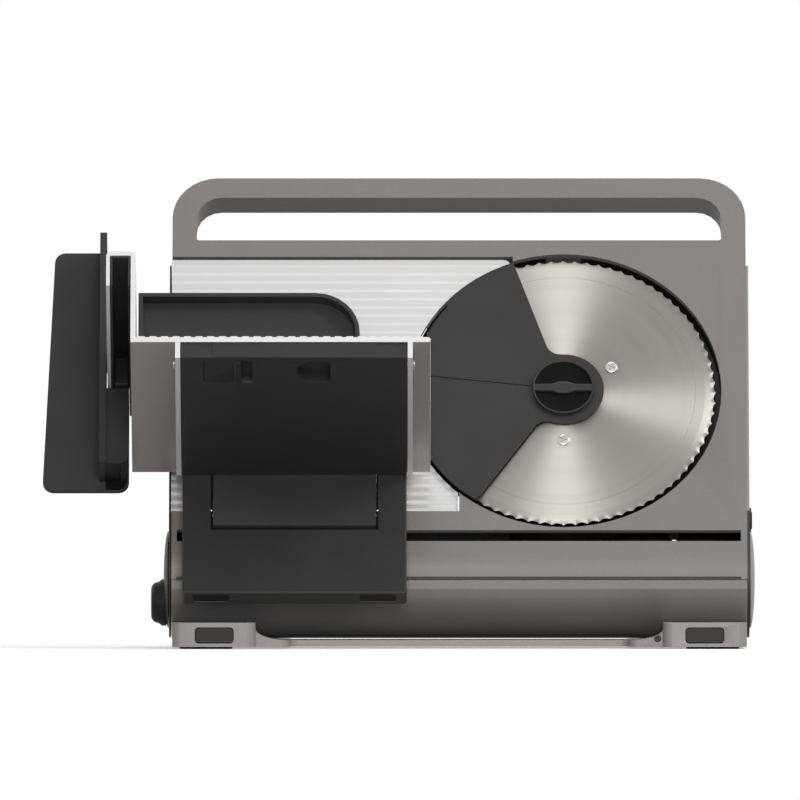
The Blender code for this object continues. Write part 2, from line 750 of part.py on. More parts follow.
def rear_shell(parent, mat):
    half = BODY_HALF
    inner = half - SHEET
    trim = GAP / math.cos(LEAN)
    body = bar("shell", shell_outline(0, SHELL_FRONT, trim), -half, half)
    hollow = shell_outline(SHEET, SHELL_FRONT - OVERRUN, -OVERRUN)
    floor = BAY_LOW - SHEET
    drum_space = box("drum_space", -inner, inner, -BODY_DEPTH, floor,
                     -BODY_DEPTH + SHEET, -SHELL_FRONT + OVERRUN)
    cut(body,
        bar("left_space", hollow, -inner, BAY_LEFT - SHEET),
        bar("right_space", hollow, BAY_RIGHT + SHEET, inner),
        drum_space,
        box("gauge_room", -half - OVERRUN, OPENING_RIGHT + GAUGE_RIGHT_GAP, OPENING_LOW, SHELL_TOP + OVERRUN,
            -GAUGE_ROOM, -SHELL_FRONT + OVERRUN),
        box("gauge_tip_room", OPENING_RIGHT - OVERRUN, OPENING_TIP_X + GAP, OPENING_TIP_LOW,
            SHELL_TOP + OVERRUN * 2, -GAUGE_ROOM - GAP / 10, -SHELL_FRONT + OVERRUN * 2),
        box("bay", BAY_LEFT, BAY_RIGHT, BAY_LOW, BAY_HIGH, -BODY_DEPTH - OVERRUN,
            -SHELL_FRONT + OVERRUN),
        shaft("switch_hole", SWITCH_RADIUS + GAP, inner - OVERRUN, half + OVERRUN, SWITCH_T,
              -SWITCH_DEPTH),
        peg("gland_hole", GLAND_SPIGOT + GAP, GLAND_X, GLAND_T, -BODY_DEPTH - OVERRUN,
            -BODY_DEPTH + SHEET + OVERRUN))
    for x in (-REAR_SCREW_X, REAR_SCREW_X):
        for height in REAR_SCREW_HEIGHTS:
            cut(body, peg("screw_hole", REAR_SCREW_SHANK + GAP, x, height, -BODY_DEPTH - OVERRUN,
                          -BODY_DEPTH + SHEET + OVERRUN, SMALL // 2))
    return finish(body, "rear_shell", parent, mat)


def lower_shell(parent, mat):
    half = BODY_HALF
    body = bar("drum", drum_outline(0, -GAP / math.cos(LEAN)), -half, half)
    cut(body,
        bar("drum_hollow", drum_outline(SHEET, OVERRUN), -half + SHEET, half - SHEET),
        shaft("knob_hole", THICKNESS_SHAFT + GAP, -half - OVERRUN, -half + SHEET + OVERRUN, KNOB_T, KNOB_D))
    return finish(body, "lower_shell", parent, mat)


def side_plate(node, side, parent, mat):
    """Dark plate over one end of the body, with the drum's round foot."""
    back = BODY_DEPTH - GAP
    round_foot = arc(DRUM_CENTRE, DRUM_RADIUS - GAP, math.pi, math.tau, 20)
    upper = rounded(
        [(back, 0), (back, SHELL_BACK_TOP), (SHELL_SHOULDER_DEPTH, SHELL_TOP - SHELL_SHOULDER_DROP - SHEET),
         (SHEET, SHELL_TOP - SHEET), (GAP, 0)],
        [0, SHELL_CORNER, SHELL_CORNER / 2, 0, 0], 5,
    )
    outline = round_foot + upper[1:-1]
    low, high = sorted((side * PLATE_FACE, side * (PLATE_FACE + SIDE_PLATE)))
    body = bar("side", outline, low, high)
    if side > 0:
        cut(body, shaft("switch_hole", SWITCH_RADIUS + GAP, low - OVERRUN, high + OVERRUN, SWITCH_T,
                        -SWITCH_DEPTH))
    else:
        cut(body, shaft("knob_hole", THICKNESS_SHAFT + GAP, low - OVERRUN, high + OVERRUN, KNOB_T, KNOB_D))
    return finish(body, node, parent, mat)


def side_cap(node, side, parent, mat):
    """Low dome over one end of the drum."""
    steps = 6
    profile = []
    for index in range(steps + 1):
        turn = math.pi / 2 * index / steps
        profile.append((CAP_RADIUS * math.sin(turn), CAP_DOME * math.cos(turn)))
    profile.append((0, 0))
    profile[-2] = (CAP_RADIUS, GAP)
    profile.insert(-1, (CAP_RADIUS, 0))
    place = at(side * CAP_FACE, 0, -DRUM_RADIUS) @ SIDE
    if side < 0:
        place = place @ Matrix.Rotation(math.pi, 4, "X")
    body = turned("cap", profile, place, FINE // 2)
    if side < 0:
        cut(body, shaft("knob_hole", THICKNESS_SHAFT + GAP, -CAP_FACE - CAP_DOME - OVERRUN,
                        -CAP_FACE + OVERRUN, KNOB_T, KNOB_D))
    return finish(body, node, parent, mat)


def blade(parent, mat):
    """Disc whose ground rim carries small hollow scallops with a point between each two."""
    steps = BLADE_TEETH * 3
    edge = BLADE_BACK + BLADE_EDGE_THICK
    profile = [(BLADE_RADIUS - BEVEL_WIDTH, BLADE_FRONT), (BLADE_RADIUS, edge), (BLADE_RADIUS, BLADE_BACK),
               (BLADE_BORE, BLADE_BACK), (BLADE_BORE, BLADE_FRONT)]
    body = turned("disc", profile, at(BLADE_X, BLADE_T, 0) @ FACE, steps)
    for vert in body.data.vertices:
        reach = math.hypot(vert.co.x, vert.co.y)
        if reach > BLADE_RADIUS - BEVEL_WIDTH / 2:
            turn = math.atan2(vert.co.y, vert.co.x)
            scallop = TOOTH_DEPTH * abs(math.sin(turn * BLADE_TEETH / 2))
            vert.co.x *= (reach - scallop) / reach
            vert.co.y *= (reach - scallop) / reach
    for x, t in screw_places():
        cut(body, peg("screw_hole", SCREW_HOLE, x, t, BLADE_BACK - OVERRUN, BLADE_FRONT + OVERRUN,
                      SMALL // 2))
    return finish(body, "blade", parent, mat)


def screw_places():
    places = []
    for index in range(SCREW_COUNT):
        turn = SCREW_FIRST_ANGLE + index * math.tau / SCREW_COUNT
        places.append((BLADE_X + SCREW_CIRCLE * math.cos(turn), BLADE_T + SCREW_CIRCLE * math.sin(turn)))
    return places


def blade_screw(node, place, parent, mat):
    top = BLADE_FRONT + GAP + SCREW_HEAD
    profile = [(0, top), (SCREW_HEAD_RADIUS * SCREW_CROWN_SHARE, top - SCREW_HEAD * SCREW_SLOPE_SHARE),
               (SCREW_HEAD_RADIUS, BLADE_FRONT + GAP + SCREW_HEAD * SCREW_RIM_SHARE),
               (SCREW_HEAD_RADIUS, BLADE_FRONT + GAP),
               (SCREW_SHANK, BLADE_FRONT + GAP), (SCREW_SHANK, -GEAR_SETBACK - GEAR_FACE / 2),
               (0, -GEAR_SETBACK - GEAR_FACE / 2)]
    return finish(turned("screw", profile, at(*place, 0) @ FACE, SMALL), node, parent, mat)


def blade_gear(parent, mat):
    back = -GEAR_SETBACK - GEAR_FACE
    hub_front = BLADE_BACK - GAP
    body = raised("gear", gear_loop(BLADE_GEAR_TEETH, GEAR_MODULE, 0), GEAR_FACE,
                  at(BLADE_X, BLADE_T, back) @ FACE)
    join(body, peg("web", SCREW_CIRCLE + SCREW_HEAD_RADIUS, BLADE_X, BLADE_T, -GEAR_SETBACK - GAP, hub_front,
                   ROUND))
    cut(body, peg("bore", AXLE_RADIUS + RUNNING, BLADE_X, BLADE_T, back - OVERRUN, OVERRUN, FINE))
    for x, t in screw_places():
        cut(body, peg("tapped", SCREW_HOLE, x, t, -GEAR_SETBACK - GEAR_FACE / 2 - GAP, OVERRUN,
                      SMALL // 2))
    return finish(body, "blade_gear", parent, mat)


def blade_axle(parent, mat):
    """Fixed stub that the blade turns on, with its flange behind the recess floor."""
    flange = FLOOR_BACK - GAP
    profile = [(0, AXLE_FRONT), (AXLE_RADIUS, AXLE_FRONT), (AXLE_RADIUS, flange), (AXLE_FLANGE_RADIUS, flange),
               (AXLE_FLANGE_RADIUS, flange - SHEET), (0, flange - SHEET)]
    return finish(turned("axle", profile, at(BLADE_X, BLADE_T, 0) @ FACE, FINE), "blade_axle", parent, mat)


def blade_cover(parent, mat):
    """Sector plate that leaves a crescent of the cutting edge free, with a ring round the axle. Its two
    straight edges run to the ring, and meet it in a round neck."""
    centre = (BLADE_X, BLADE_T)
    reach = COVER_HUB_RADIUS + COVER_NECK_ROUND
    lean = math.asin(COVER_NECK_ROUND / reach)
    upper = COVER_UPPER_ANGLE - lean
    lower = COVER_LOWER_ANGLE + lean
    upper_neck = (centre[0] + reach * math.cos(upper), centre[1] + reach * math.sin(upper))
    lower_neck = (centre[0] + reach * math.cos(lower), centre[1] + reach * math.sin(lower))
    quarter, half = math.pi / 2, math.pi
    loop = arc(centre, COVER_EDGE, COVER_UPPER_ANGLE, COVER_SLOT_ANGLE, 8)
    loop += arc(centre, COVER_SLOT_EDGE, COVER_SLOT_ANGLE + GAP / COVER_EDGE, COVER_LOWER_ANGLE, 24)
    loop += arc(lower_neck, COVER_NECK_ROUND, COVER_LOWER_ANGLE - quarter, lower - half, 6)
    loop += arc(centre, COVER_HUB_RADIUS, lower, upper + math.tau, 24)[1:-1]
    loop += arc(upper_neck, COVER_NECK_ROUND, upper + half, COVER_UPPER_ANGLE + quarter, 6)
    body = plate("sector", loop, 0, COVER_THICK)
    cut(body, peg("axle_hole", AXLE_RADIUS + GAP, BLADE_X, BLADE_T, -OVERRUN, COVER_THICK + OVERRUN, ROUND))
    return finish(body, "blade_cover", parent, mat)


def blade_knob(parent, mat):
    """Dished lock knob with a grip bar across it."""
    low = COVER_THICK + GAP
    top = low + LOCK_HEIGHT
    dish = top - LOCK_DISH
    profile = [(0, dish), (LOCK_RADIUS - LOCK_RIM * 2, dish), (LOCK_RADIUS - LOCK_RIM, top),
               (LOCK_RADIUS, top - LOCK_RIM / 2), (LOCK_RADIUS, low), (LOCK_SHANK, low),
               (LOCK_SHANK, AXLE_FRONT + GAP), (0, AXLE_FRONT + GAP)]
    body = turned("knob", profile, at(BLADE_X, BLADE_T, 0) @ FACE, FINE // 2)
    reach = LOCK_RADIUS - LOCK_RIM
    join(body,
         box("grip_bar", BLADE_X - reach, BLADE_X + reach, BLADE_T - LOCK_BAR_HALF, BLADE_T + LOCK_BAR_HALF,
             dish - GAP, top - GAP),
         peg("grip_boss", LOCK_BOSS_RADIUS + LOCK_BAR_HALF, BLADE_X, BLADE_T, dish - GAP, top, SMALL))
    return finish(body, "blade_knob", parent, mat)


def reduction_gear(parent, mat):
    """Pinion in the recess and worm wheel behind it on one shaft; a pinion tooth meets a gap."""
    pinion_phase = math.pi / 2
    wheel_d = -DRUM_RADIUS
    back = -GEAR_SETBACK - GEAR_FACE
    body = raised("pinion", gear_loop(PINION_TEETH, GEAR_MODULE, pinion_phase), GEAR_FACE,
                  at(BLADE_X, PINION_T, back) @ FACE)
    wheel = raised("wheel", gear_loop(WHEEL_TEETH, GEAR_MODULE, 0), WHEEL_FACE,
                   at(BLADE_X, PINION_T, wheel_d - WHEEL_FACE / 2) @ FACE)
    spindle = peg("spindle", WHEEL_SHAFT, BLADE_X, PINION_T, wheel_d - WHEEL_FACE, -GEAR_SETBACK - GAP, ROUND)
    return finish(join(body, wheel, spindle), "reduction_gear", parent, mat)


def gear_bush(parent, mat):
    top = FLOOR_BACK - GAP
    low = top - BUSH_LENGTH
    bore = WHEEL_SHAFT + RUNNING
    profile = [(BUSH_RADIUS, top), (BUSH_RADIUS, low), (bore, low), (bore, top)]
    return finish(turned("bush", profile, at(BLADE_X, PINION_T, 0) @ FACE, ROUND), "gear_bush", parent, mat)


def motor(parent, mat):
    body = shaft("can", MOTOR_RADIUS, MOTOR_LEFT, MOTOR_RIGHT, 0, -DRUM_RADIUS, ROUND)
    soften(body, MOTOR_SHAFT / 2, 1)
    body = to_mesh(body)
    join(body, shaft("boss", MOTOR_BOSS_RADIUS, MOTOR_LEFT - MOTOR_BOSS, MOTOR_LEFT + OVERRUN, 0, -DRUM_RADIUS,
                     ROUND))
    cut(body, shaft("shaft_hole", MOTOR_SHAFT + GAP, MOTOR_LEFT - MOTOR_BOSS - OVERRUN,
                    MOTOR_LEFT + MOTOR_BOSS, 0, -DRUM_RADIUS))
    return finish(body, "motor", parent, mat)


def motor_saddle(parent, mat):
    """Block in the foot of the drum that the motor lies in."""
    body = box("saddle", SADDLE_LEFT, SADDLE_RIGHT, -DRUM_RADIUS, -SADDLE_HALF / 2,
               -DRUM_RADIUS - SADDLE_HALF, -DRUM_RADIUS + SADDLE_HALF)
    common(body, shaft("drum_inside", DRUM_RADIUS - SHEET - GAP, SADDLE_LEFT - OVERRUN,
                       SADDLE_RIGHT + OVERRUN, 0, -DRUM_RADIUS, FINE))
    cut(body, shaft("motor_bed", MOTOR_RADIUS + GAP, SADDLE_LEFT - OVERRUN * 2, SADDLE_RIGHT + OVERRUN * 2, 0,
                    -DRUM_RADIUS, FINE))
    return finish(body, "motor_saddle", parent, mat)


def motor_shaft(parent, mat):
    """Shaft with a worm, whose threads are simplified to rings on a core."""
    pitch = math.pi * GEAR_MODULE
    threads = int(WORM_LENGTH / pitch)
    top = BLADE_X + WORM_LENGTH / 2
    seat = MOTOR_LEFT + MOTOR_BOSS / 2
    profile = [(0, seat), (MOTOR_SHAFT, seat), (MOTOR_SHAFT, top), (WORM_CORE, top)]
    for index in range(threads):
        middle = BLADE_X + pitch * ((threads - 1) / 2 - index)
        root, tip = pitch * WORM_ROOT_SHARE, pitch * WORM_TIP_SHARE
        profile += [(WORM_CORE, middle + root), (WORM_RADIUS, middle + tip), (WORM_RADIUS, middle - tip),
                    (WORM_CORE, middle - root)]
    low = BLADE_X - WORM_LENGTH / 2
    profile += [(WORM_CORE, low), (MOTOR_SHAFT, low), (MOTOR_SHAFT, WORM_BEARING_X), (0, WORM_BEARING_X)]
    return finish(turned("shaft", profile, at(0, 0, -DRUM_RADIUS) @ SIDE, ROUND), "motor_shaft", parent, mat)


def worm_bearing(parent, mat):
    """Post on the drum wall that carries the free end of the worm shaft."""
    x0 = WORM_BEARING_X - BEARING_WIDTH / 2
    x1 = WORM_BEARING_X + BEARING_WIDTH / 2
    body = box("post", x0, x1, -DRUM_RADIUS, BEARING_HALF, -DRUM_RADIUS - BEARING_HALF,
               -DRUM_RADIUS + BEARING_HALF)
    common(body, shaft("drum_inside", DRUM_RADIUS - SHEET - GAP, x0 - OVERRUN, x1 + OVERRUN, 0, -DRUM_RADIUS,
                       FINE))
    cut(body, shaft("bearing_hole", MOTOR_SHAFT + RUNNING, WORM_BEARING_X - GAP, x1 + OVERRUN * 2, 0,
                    -DRUM_RADIUS, ROUND))
    return finish(body, "worm_bearing", parent, mat)


def gauge_plate(parent, mat):
    """Ribbed plate whose right side is hollowed to the blade's circle."""
    left = -BODY_HALF + GAUGE_SIDE_GAP
    right = OPENING_RIGHT - GAUGE_RIGHT_GAP
    low = OPENING_LOW + GAUGE_SIDE_GAP
    high = OPENING_HIGH - GAUGE_SIDE_GAP * 2
    tip = OPENING_TIP_X - GAUGE_RIGHT_GAP
    face = GAUGE_SETBACK + GAUGE_RIB
    back = GAUGE_SETBACK + GAUGE_THICK
    outline = [(back, low), (back, high), (face, high)]
    flat = GAUGE_RIB_PITCH * (1 - GAUGE_RIB_SHARE) / 2
    count = int((high - low) / GAUGE_RIB_PITCH)
    for index in range(count):
        top = high - index * GAUGE_RIB_PITCH
        outline += [(face, top - flat), (GAUGE_SETBACK, top - flat * GAUGE_SLOPE_SHARE),
                    (GAUGE_SETBACK, top - GAUGE_RIB_PITCH + flat * GAUGE_SLOPE_SHARE),
                    (face, top - GAUGE_RIB_PITCH + flat)]
    outline.append((face, low))
    body = bar("gauge", outline, left, tip)
    d0, d1 = -back - OVERRUN, OVERRUN
    corner = box("tip_corner", tip - GAUGE_TIP_CORNER, tip + OVERRUN, high - GAUGE_TIP_CORNER, high + OVERRUN,
                 d0, d1)
    cut(corner, peg("tip_round", GAUGE_TIP_CORNER, tip - GAUGE_TIP_CORNER, high - GAUGE_TIP_CORNER,
                    d0 - OVERRUN, d1 + OVERRUN))
    cut(body,
        peg("blade_arc", GAUGE_ARC, BLADE_X, BLADE_T, d0, d1, FINE * 2),
        box("low_right", right, tip + OVERRUN, low - OVERRUN, BLADE_T, d0, d1),
        to_mesh(corner))
    return finish(body, "gauge_plate", parent, mat)


def gauge_bracket(parent, mat):
    """Flange on the back of the gauge plate, two guide sleeves and an arm with a rack."""
    front = -(GAUGE_SETBACK + GAUGE_THICK + GAP)
    middle = (BRACKET_LEFT + BRACKET_RIGHT) / 2
    body = box("flange", BRACKET_LEFT, BRACKET_RIGHT, BRACKET_LOW, BRACKET_HIGH, front - BRACKET_THICK, front)
    for height in ROD_HEIGHTS:
        join(body, box("sleeve", middle - SLEEVE_HALF, middle + SLEEVE_HALF, height - SLEEVE_HALF,
                       height + SLEEVE_HALF, -SLEEVE_END, front - BRACKET_THICK / 2))
    rack_top = KNOB_T + THICKNESS_PITCH + RACK_HEIGHT * RACK_TOP_SHARE
    rack_low = KNOB_T + THICKNESS_PITCH + RACK_HEIGHT * RACK_LOW_SHARE
    join(body,
         box("arm", ARM_LEFT, ARM_RIGHT, rack_low + GAP, ROD_HEIGHTS[0], -ARM_BACK, -ARM_FRONT),
         box("arm_root", ARM_LEFT - GAP, ARM_RIGHT + GAP, BRACKET_LOW + GAP, ROD_HEIGHTS[0] - GAP,
             -ARM_BACK + GAP, front - BRACKET_THICK / 2),
         bar("rack", rack_loop(rack_low, rack_top), ARM_LEFT + GAP, ARM_RIGHT - GAP))
    for height in ROD_HEIGHTS:
        cut(body, peg("rod_hole", ROD_RADIUS + RUNNING * 2, middle, height, -SLEEVE_END - OVERRUN,
                      front - BRACKET_THICK - GAP, ROUND))
    return finish(body, "gauge_bracket", parent, mat)


def rack_loop(low, top):
    """Bar with teeth on its underside, spaced as the little pinion's."""
    pitch = math.tau * THICKNESS_PITCH / THICKNESS_TEETH
    height = THICKNESS_PITCH * RACK_TOOTH_SHARE
    middle = -KNOB_D
    loop = [(RACK_FRONT, top), (RACK_FRONT, low)]
    first = math.ceil((RACK_FRONT - middle) / pitch)
    last = math.floor((RACK_BACK - middle) / pitch)
    for index in range(first, last):
        centre = middle + (index + 0.5) * pitch
        loop += [(centre - pitch * RACK_FOOT_SHARE, low), (centre - pitch * RACK_TIP_SHARE, low - height),
                 (centre + pitch * RACK_TIP_SHARE, low - height), (centre + pitch * RACK_FOOT_SHARE, low)]
    return loop + [(RACK_BACK, low), (RACK_BACK, top)]


def guide_rod(node, height, parent, mat):
    middle = (BRACKET_LEFT + BRACKET_RIGHT) / 2
    body = peg("rod", ROD_RADIUS, middle, height, -BODY_DEPTH + SHEET + GAP, -ROD_FRONT, ROUND)
    return finish(body, node, parent, mat)


def thickness_knob(parent, mat):
    inner = CAP_FACE + CAP_DOME + GAP * 2
    length = THICKNESS_KNOB_END - inner
    steps = 5
    profile = [(0, length)]
    for index in range(steps + 1):
        turn = math.pi / 2 * index / steps
        profile.append((THICKNESS_KNOB_RADIUS - THICKNESS_KNOB_ROUND * (1 - math.sin(turn)),
                        length - THICKNESS_KNOB_ROUND * (1 - math.cos(turn))))
    profile += [(THICKNESS_KNOB_RADIUS, 0), (0, 0)]
    place = at(-inner, KNOB_T, KNOB_D) @ SIDE @ Matrix.Rotation(math.pi, 4, "X")
    body = turned("knob", profile, place, ROUND)
    cut(body, shaft("shaft_hole", THICKNESS_SHAFT + RUNNING, -inner - length / 2, -inner + OVERRUN, KNOB_T,
                    KNOB_D))
    pointer = THICKNESS_KNOB_RADIUS * POINTER_LENGTH_SHARE
    mark = box("pointer", -THICKNESS_KNOB_END - OVERRUN, -THICKNESS_KNOB_END + GAP * 2, KNOB_T,
               KNOB_T + pointer, KNOB_D - POINTER_HALF, KNOB_D + POINTER_HALF)
    cut(body, mark)
    return finish(body, "thickness_knob", parent, mat)


def thickness_shaft(parent, mat):
    """Shaft of the knob with the little pinion that drives the rack."""
    inner = CAP_FACE + CAP_DOME + GAP * 2
    length = THICKNESS_KNOB_END - inner
    body = shaft("spindle", THICKNESS_SHAFT, -inner - length / 2 + GAP, THICKNESS_SHAFT_END, KNOB_T, KNOB_D)
    root = THICKNESS_SHAFT * THICKNESS_ROOT_SHARE
    tip = THICKNESS_PITCH * THICKNESS_TIP_SHARE
    foot_share, tip_share = THICKNESS_TOOTH_SHARES
    loop = []
    step = math.tau / THICKNESS_TEETH
    for index in range(THICKNESS_TEETH):
        middle = index * step + math.pi / 2
        for radius, share in ((root, -foot_share), (tip, -tip_share), (tip, tip_share), (root, foot_share)):
            angle = middle + share * step
            loop.append((radius * math.cos(angle), radius * math.sin(angle)))
    pinion = raised("pinion", loop, ARM_RIGHT - ARM_LEFT, at(ARM_LEFT, KNOB_T, KNOB_D) @ SIDE)
    return finish(join(body, pinion), "thickness_shaft", parent, mat)


def thickness_bearing(parent, mat):
    """Post on the drum wall that carries the inner end of the thickness shaft."""
    x0 = THICKNESS_BEARING_X - BEARING_WIDTH / 2
    x1 = THICKNESS_BEARING_X + BEARING_WIDTH / 2
    body = box("post", x0, x1, -DRUM_RADIUS, KNOB_T + BEARING_HALF, KNOB_D - BEARING_HALF,
               KNOB_D + BEARING_HALF)
    common(body, shaft("drum_inside", DRUM_RADIUS - SHEET - GAP, x0 - OVERRUN, x1 + OVERRUN, 0,
                       -DRUM_RADIUS, FINE))
    cut(body, shaft("bearing_hole", THICKNESS_SHAFT + RUNNING, x0 - OVERRUN * 2, x1 + OVERRUN * 2, KNOB_T,
                    KNOB_D))
    return finish(body, "thickness_bearing", parent, mat)


def slide_rail(parent, mat):
    reach = BODY_HALF - SHEET - GAP
    body = shaft("rail", RAIL_RADIUS, -reach, reach, RAIL_T, -RAIL_DEPTH)
    return finish(body, "slide_rail", parent, mat)


def carriage_base(parent, mat):
    """Slab in front of the drum with a notch between two arms."""
    body = plate("slab", rectangle(SLAB_LEFT, SLAB_RIGHT, SLAB_LOW, SLAB_HIGH, SLAB_ROUND, 2), SLAB_BACK,
                 SLAB_FRONT)
    body = to_mesh(soften(body, SLAB_ROUND / 2, 1))
    cut(body, box("notch", NOTCH_LEFT, NOTCH_RIGHT, NOTCH_LOW, SLAB_HIGH + OVERRUN, SLAB_BACK - OVERRUN,
                  SLAB_FRONT + OVERRUN))
    pad = PAD_LENGTH
    for x in (SLAB_LEFT + PAD_INSET, SLAB_RIGHT - PAD_INSET - pad):
        cut(body, box("pad_recess", x, x + pad, SLAB_LOW - OVERRUN, SLAB_LOW + SLAB_PAD_DEEP,
                      SLAB_BACK + SLAB_THICK * PAD_MARGIN_SHARE, SLAB_FRONT - SLAB_THICK * PAD_MARGIN_SHARE))
    for x in (NOTCH_LEFT, NOTCH_RIGHT):
        cut(body, shaft("hinge_hole", HINGE_RADIUS + RUNNING, x - HINGE_REACH, x + HINGE_REACH, HINGE_T,
                        HINGE_D))
    return finish(body, "carriage_base", parent, mat)


def slide_shoe(node, middle, parent, mat):
    """Block on the back of the slab that reaches through the slot and runs on the rail."""
    x0, x1 = middle - SHOE_HALF, middle + SHOE_HALF
    body = box("neck", x0, x1, SLOT_LOW + SHOE_INSET, SLOT_HIGH - SHOE_INSET, -SHOE_BACK / 2, SLAB_BACK - GAP)
    join(body, box("block", x0, x1, SHOE_LOW, SLOT_HIGH - SHOE_INSET, -SHOE_BACK, -SHEET - GAP))
    cut(body, shaft("rail_hole", RAIL_RADIUS + RUNNING, x0 - OVERRUN, x1 + OVERRUN, RAIL_T, -RAIL_DEPTH))
    return finish(body, node, parent, mat)


def hinge_pin(node, x, parent, mat):
    body = shaft("pin", HINGE_RADIUS, x - HINGE_REACH + GAP, x + HINGE_REACH - GAP, HINGE_T, HINGE_D)
    return finish(body, node, parent, mat)


def strut_profile():
    """Side view of the strut in (depth behind the panel, t): a deck, and a tongue whose foot is round
    about the hinge with its heel cut away, so that it clears the notch and the panel as it turns."""
    reach = HINGE_T - NOTCH_LOW - GAP
    toe = math.acos((SLAB_FRONT - HINGE_D) / reach)
    foot = arc((-HINGE_D, HINGE_T), reach, math.pi + toe, math.pi + TONGUE_HEEL_TURN, 4)
    return ([(-STRUT_FRONT, STRUT_TOP), (-STRUT_FRONT, STRUT_UNDER), (-SLAB_FRONT, STRUT_UNDER)] + foot
            + [(-SLAB_BACK, NOTCH_LOW + GAP + TONGUE_HEEL_RISE), (-SLAB_BACK, STRUT_TOP)])


def carriage_strut(parent, mat):
    """Deck under the table with a tongue that turns in the slab's notch."""
    gap = GAP
    body = bar("strut", strut_profile(), NOTCH_LEFT + gap, NOTCH_RIGHT - gap)
    left = WEB_LEFT + WEB_THICK + gap
    right = WEB_RIGHT - WEB_THICK - gap
    join(body, box("deck", left, right, STRUT_UNDER, STRUT_TOP, STRUT_BACK, STRUT_FRONT - GAP))
    cut(body,
        box("latch_space", LATCH_LEFT - gap, LATCH_SLOT_RIGHT, STRUT_UNDER - OVERRUN,
            STRUT_UNDER + LATCH_DEEP + gap, LATCH_BACK - gap, LATCH_FRONT + gap),
        finger_hole(),
        shaft("left_pin", HINGE_RADIUS + RUNNING, NOTCH_LEFT - HINGE_REACH, NOTCH_LEFT + HINGE_REACH, HINGE_T,
              HINGE_D),
        shaft("right_pin", HINGE_RADIUS + RUNNING, NOTCH_RIGHT - HINGE_REACH, NOTCH_RIGHT + HINGE_REACH,
              HINGE_T, HINGE_D),
        shaft("table_pins_left", TABLE_PIN_RADIUS + RUNNING, left - OVERRUN, left + TABLE_PIN_REACH,
              TABLE_UNDER - TABLE_PIN_DROP, TABLE_PIN_D),
        shaft("table_pins_right", TABLE_PIN_RADIUS + RUNNING, right - TABLE_PIN_REACH, right + OVERRUN,
              TABLE_UNDER - TABLE_PIN_DROP, TABLE_PIN_D))
    return finish(body, "carriage_strut", parent, mat)


def finger_hole():
    """Finger recess in the underside of the deck, round at its left end."""
    width = LATCH_FRONT - LATCH_BACK
    middle = (LATCH_FRONT + LATCH_BACK) / 2
    left_round, right_round = (width * share for share in FINGER_ROUND_SHARES)
    loop = rounded([(FINGER_LEFT, -width / 2), (FINGER_RIGHT, -width / 2), (FINGER_RIGHT, width / 2),
                    (FINGER_LEFT, width / 2)], [left_round, right_round, right_round, left_round], 5)
    return raised("finger_hole", loop, FINGER_DEEP + OVERRUN, at(0, STRUT_UNDER - OVERRUN, middle))


def table_latch(parent, mat):
    """Sliding latch in the deck with a thumb ridge."""
    body = box("latch", LATCH_LEFT, LATCH_RIGHT, STRUT_UNDER, STRUT_UNDER + LATCH_DEEP, LATCH_BACK,
               LATCH_FRONT)
    join(body, box("ridge", LATCH_RIGHT - LATCH_DEEP, LATCH_RIGHT, STRUT_UNDER - LATCH_PROUD,
                   STRUT_UNDER + GAP, LATCH_BACK, LATCH_FRONT))
    return finish(body, "table_latch", parent, mat)


def carriage_table(parent, mat):
    """Extruded table with a ribbed top, two webs below and a side wall that ends in a channel."""
    top = TABLE_UNDER + TABLE_PLATE
    wall = TABLE_LEFT + WALL_THICK
    roof = WALL_TOP - WALL_THICK
    leg = CHANNEL_LEFT + CHANNEL_LEG
    leg_low = WALL_TOP - CHANNEL_DROP
    corners = [(TABLE_LEFT, TABLE_UNDER), (TABLE_RIGHT, TABLE_UNDER), (TABLE_RIGHT, top)]
    radii = [0, TABLE_EDGE_ROUND / 2, TABLE_EDGE_ROUND]
    half_rib = TABLE_RIB_PITCH * TABLE_RIB_WIDTH_SHARE / 2
    for index in reversed(range(int((TABLE_RIGHT - wall) / TABLE_RIB_PITCH))):
        x = wall + (index + 0.5) * TABLE_RIB_PITCH
        ribs = [(x + half_rib, top), (x + half_rib, top + TABLE_RIB), (x - half_rib, top + TABLE_RIB),
                (x - half_rib, top)]
        corners += ribs
        radii += [0] * len(ribs)
    tail = [(wall, top), (wall, WALL_TOP), (CHANNEL_LEFT, WALL_TOP), (CHANNEL_LEFT, leg_low), (leg, leg_low),
            (leg, roof), (TABLE_LEFT, roof)]
    tail_radii = [0, CHANNEL_ROUND, CHANNEL_ROUND, 0, 0, 0, 0]
    loop = rounded(corners + tail, radii + tail_radii, 3)
    body = plate("table", loop, TABLE_BACK, TABLE_FRONT)
    pin_t = TABLE_UNDER - TABLE_PIN_DROP
    for web in (WEB_LEFT, WEB_RIGHT - WEB_THICK):
        join(body, box("web", web, web + WEB_THICK, TABLE_UNDER - WEB_DROP, TABLE_UNDER + GAP, STRUT_BACK,
                       TABLE_FRONT - GAP))
        cut(body, shaft("pin_hole", TABLE_PIN_RADIUS + RUNNING, web - OVERRUN, web + WEB_THICK + OVERRUN,
                        pin_t, TABLE_PIN_D))
    return finish(body, "carriage_table", parent, mat)


def table_pin(node, side, parent, mat):
    """Headed pin through a web into the deck."""
    outer = WEB_LEFT if side < 0 else WEB_RIGHT
    pin_t = TABLE_UNDER - TABLE_PIN_DROP
    head = TABLE_PIN_RADIUS * TABLE_PIN_HEAD_SHARE
    brim = TABLE_PIN_RADIUS * TABLE_PIN_BRIM_SHARE
    reach = WEB_THICK + TABLE_PIN_REACH - GAP * 2
    profile = [(0, head), (brim, head), (brim, GAP), (TABLE_PIN_RADIUS, GAP),
               (TABLE_PIN_RADIUS, -reach), (0, -reach)]
    place = at(outer, pin_t, TABLE_PIN_D) @ SIDE
    if side < 0:
        place = place @ Matrix.Rotation(math.pi, 4, "X")
    return finish(turned("pin", profile, place, SMALL), node, parent, mat)


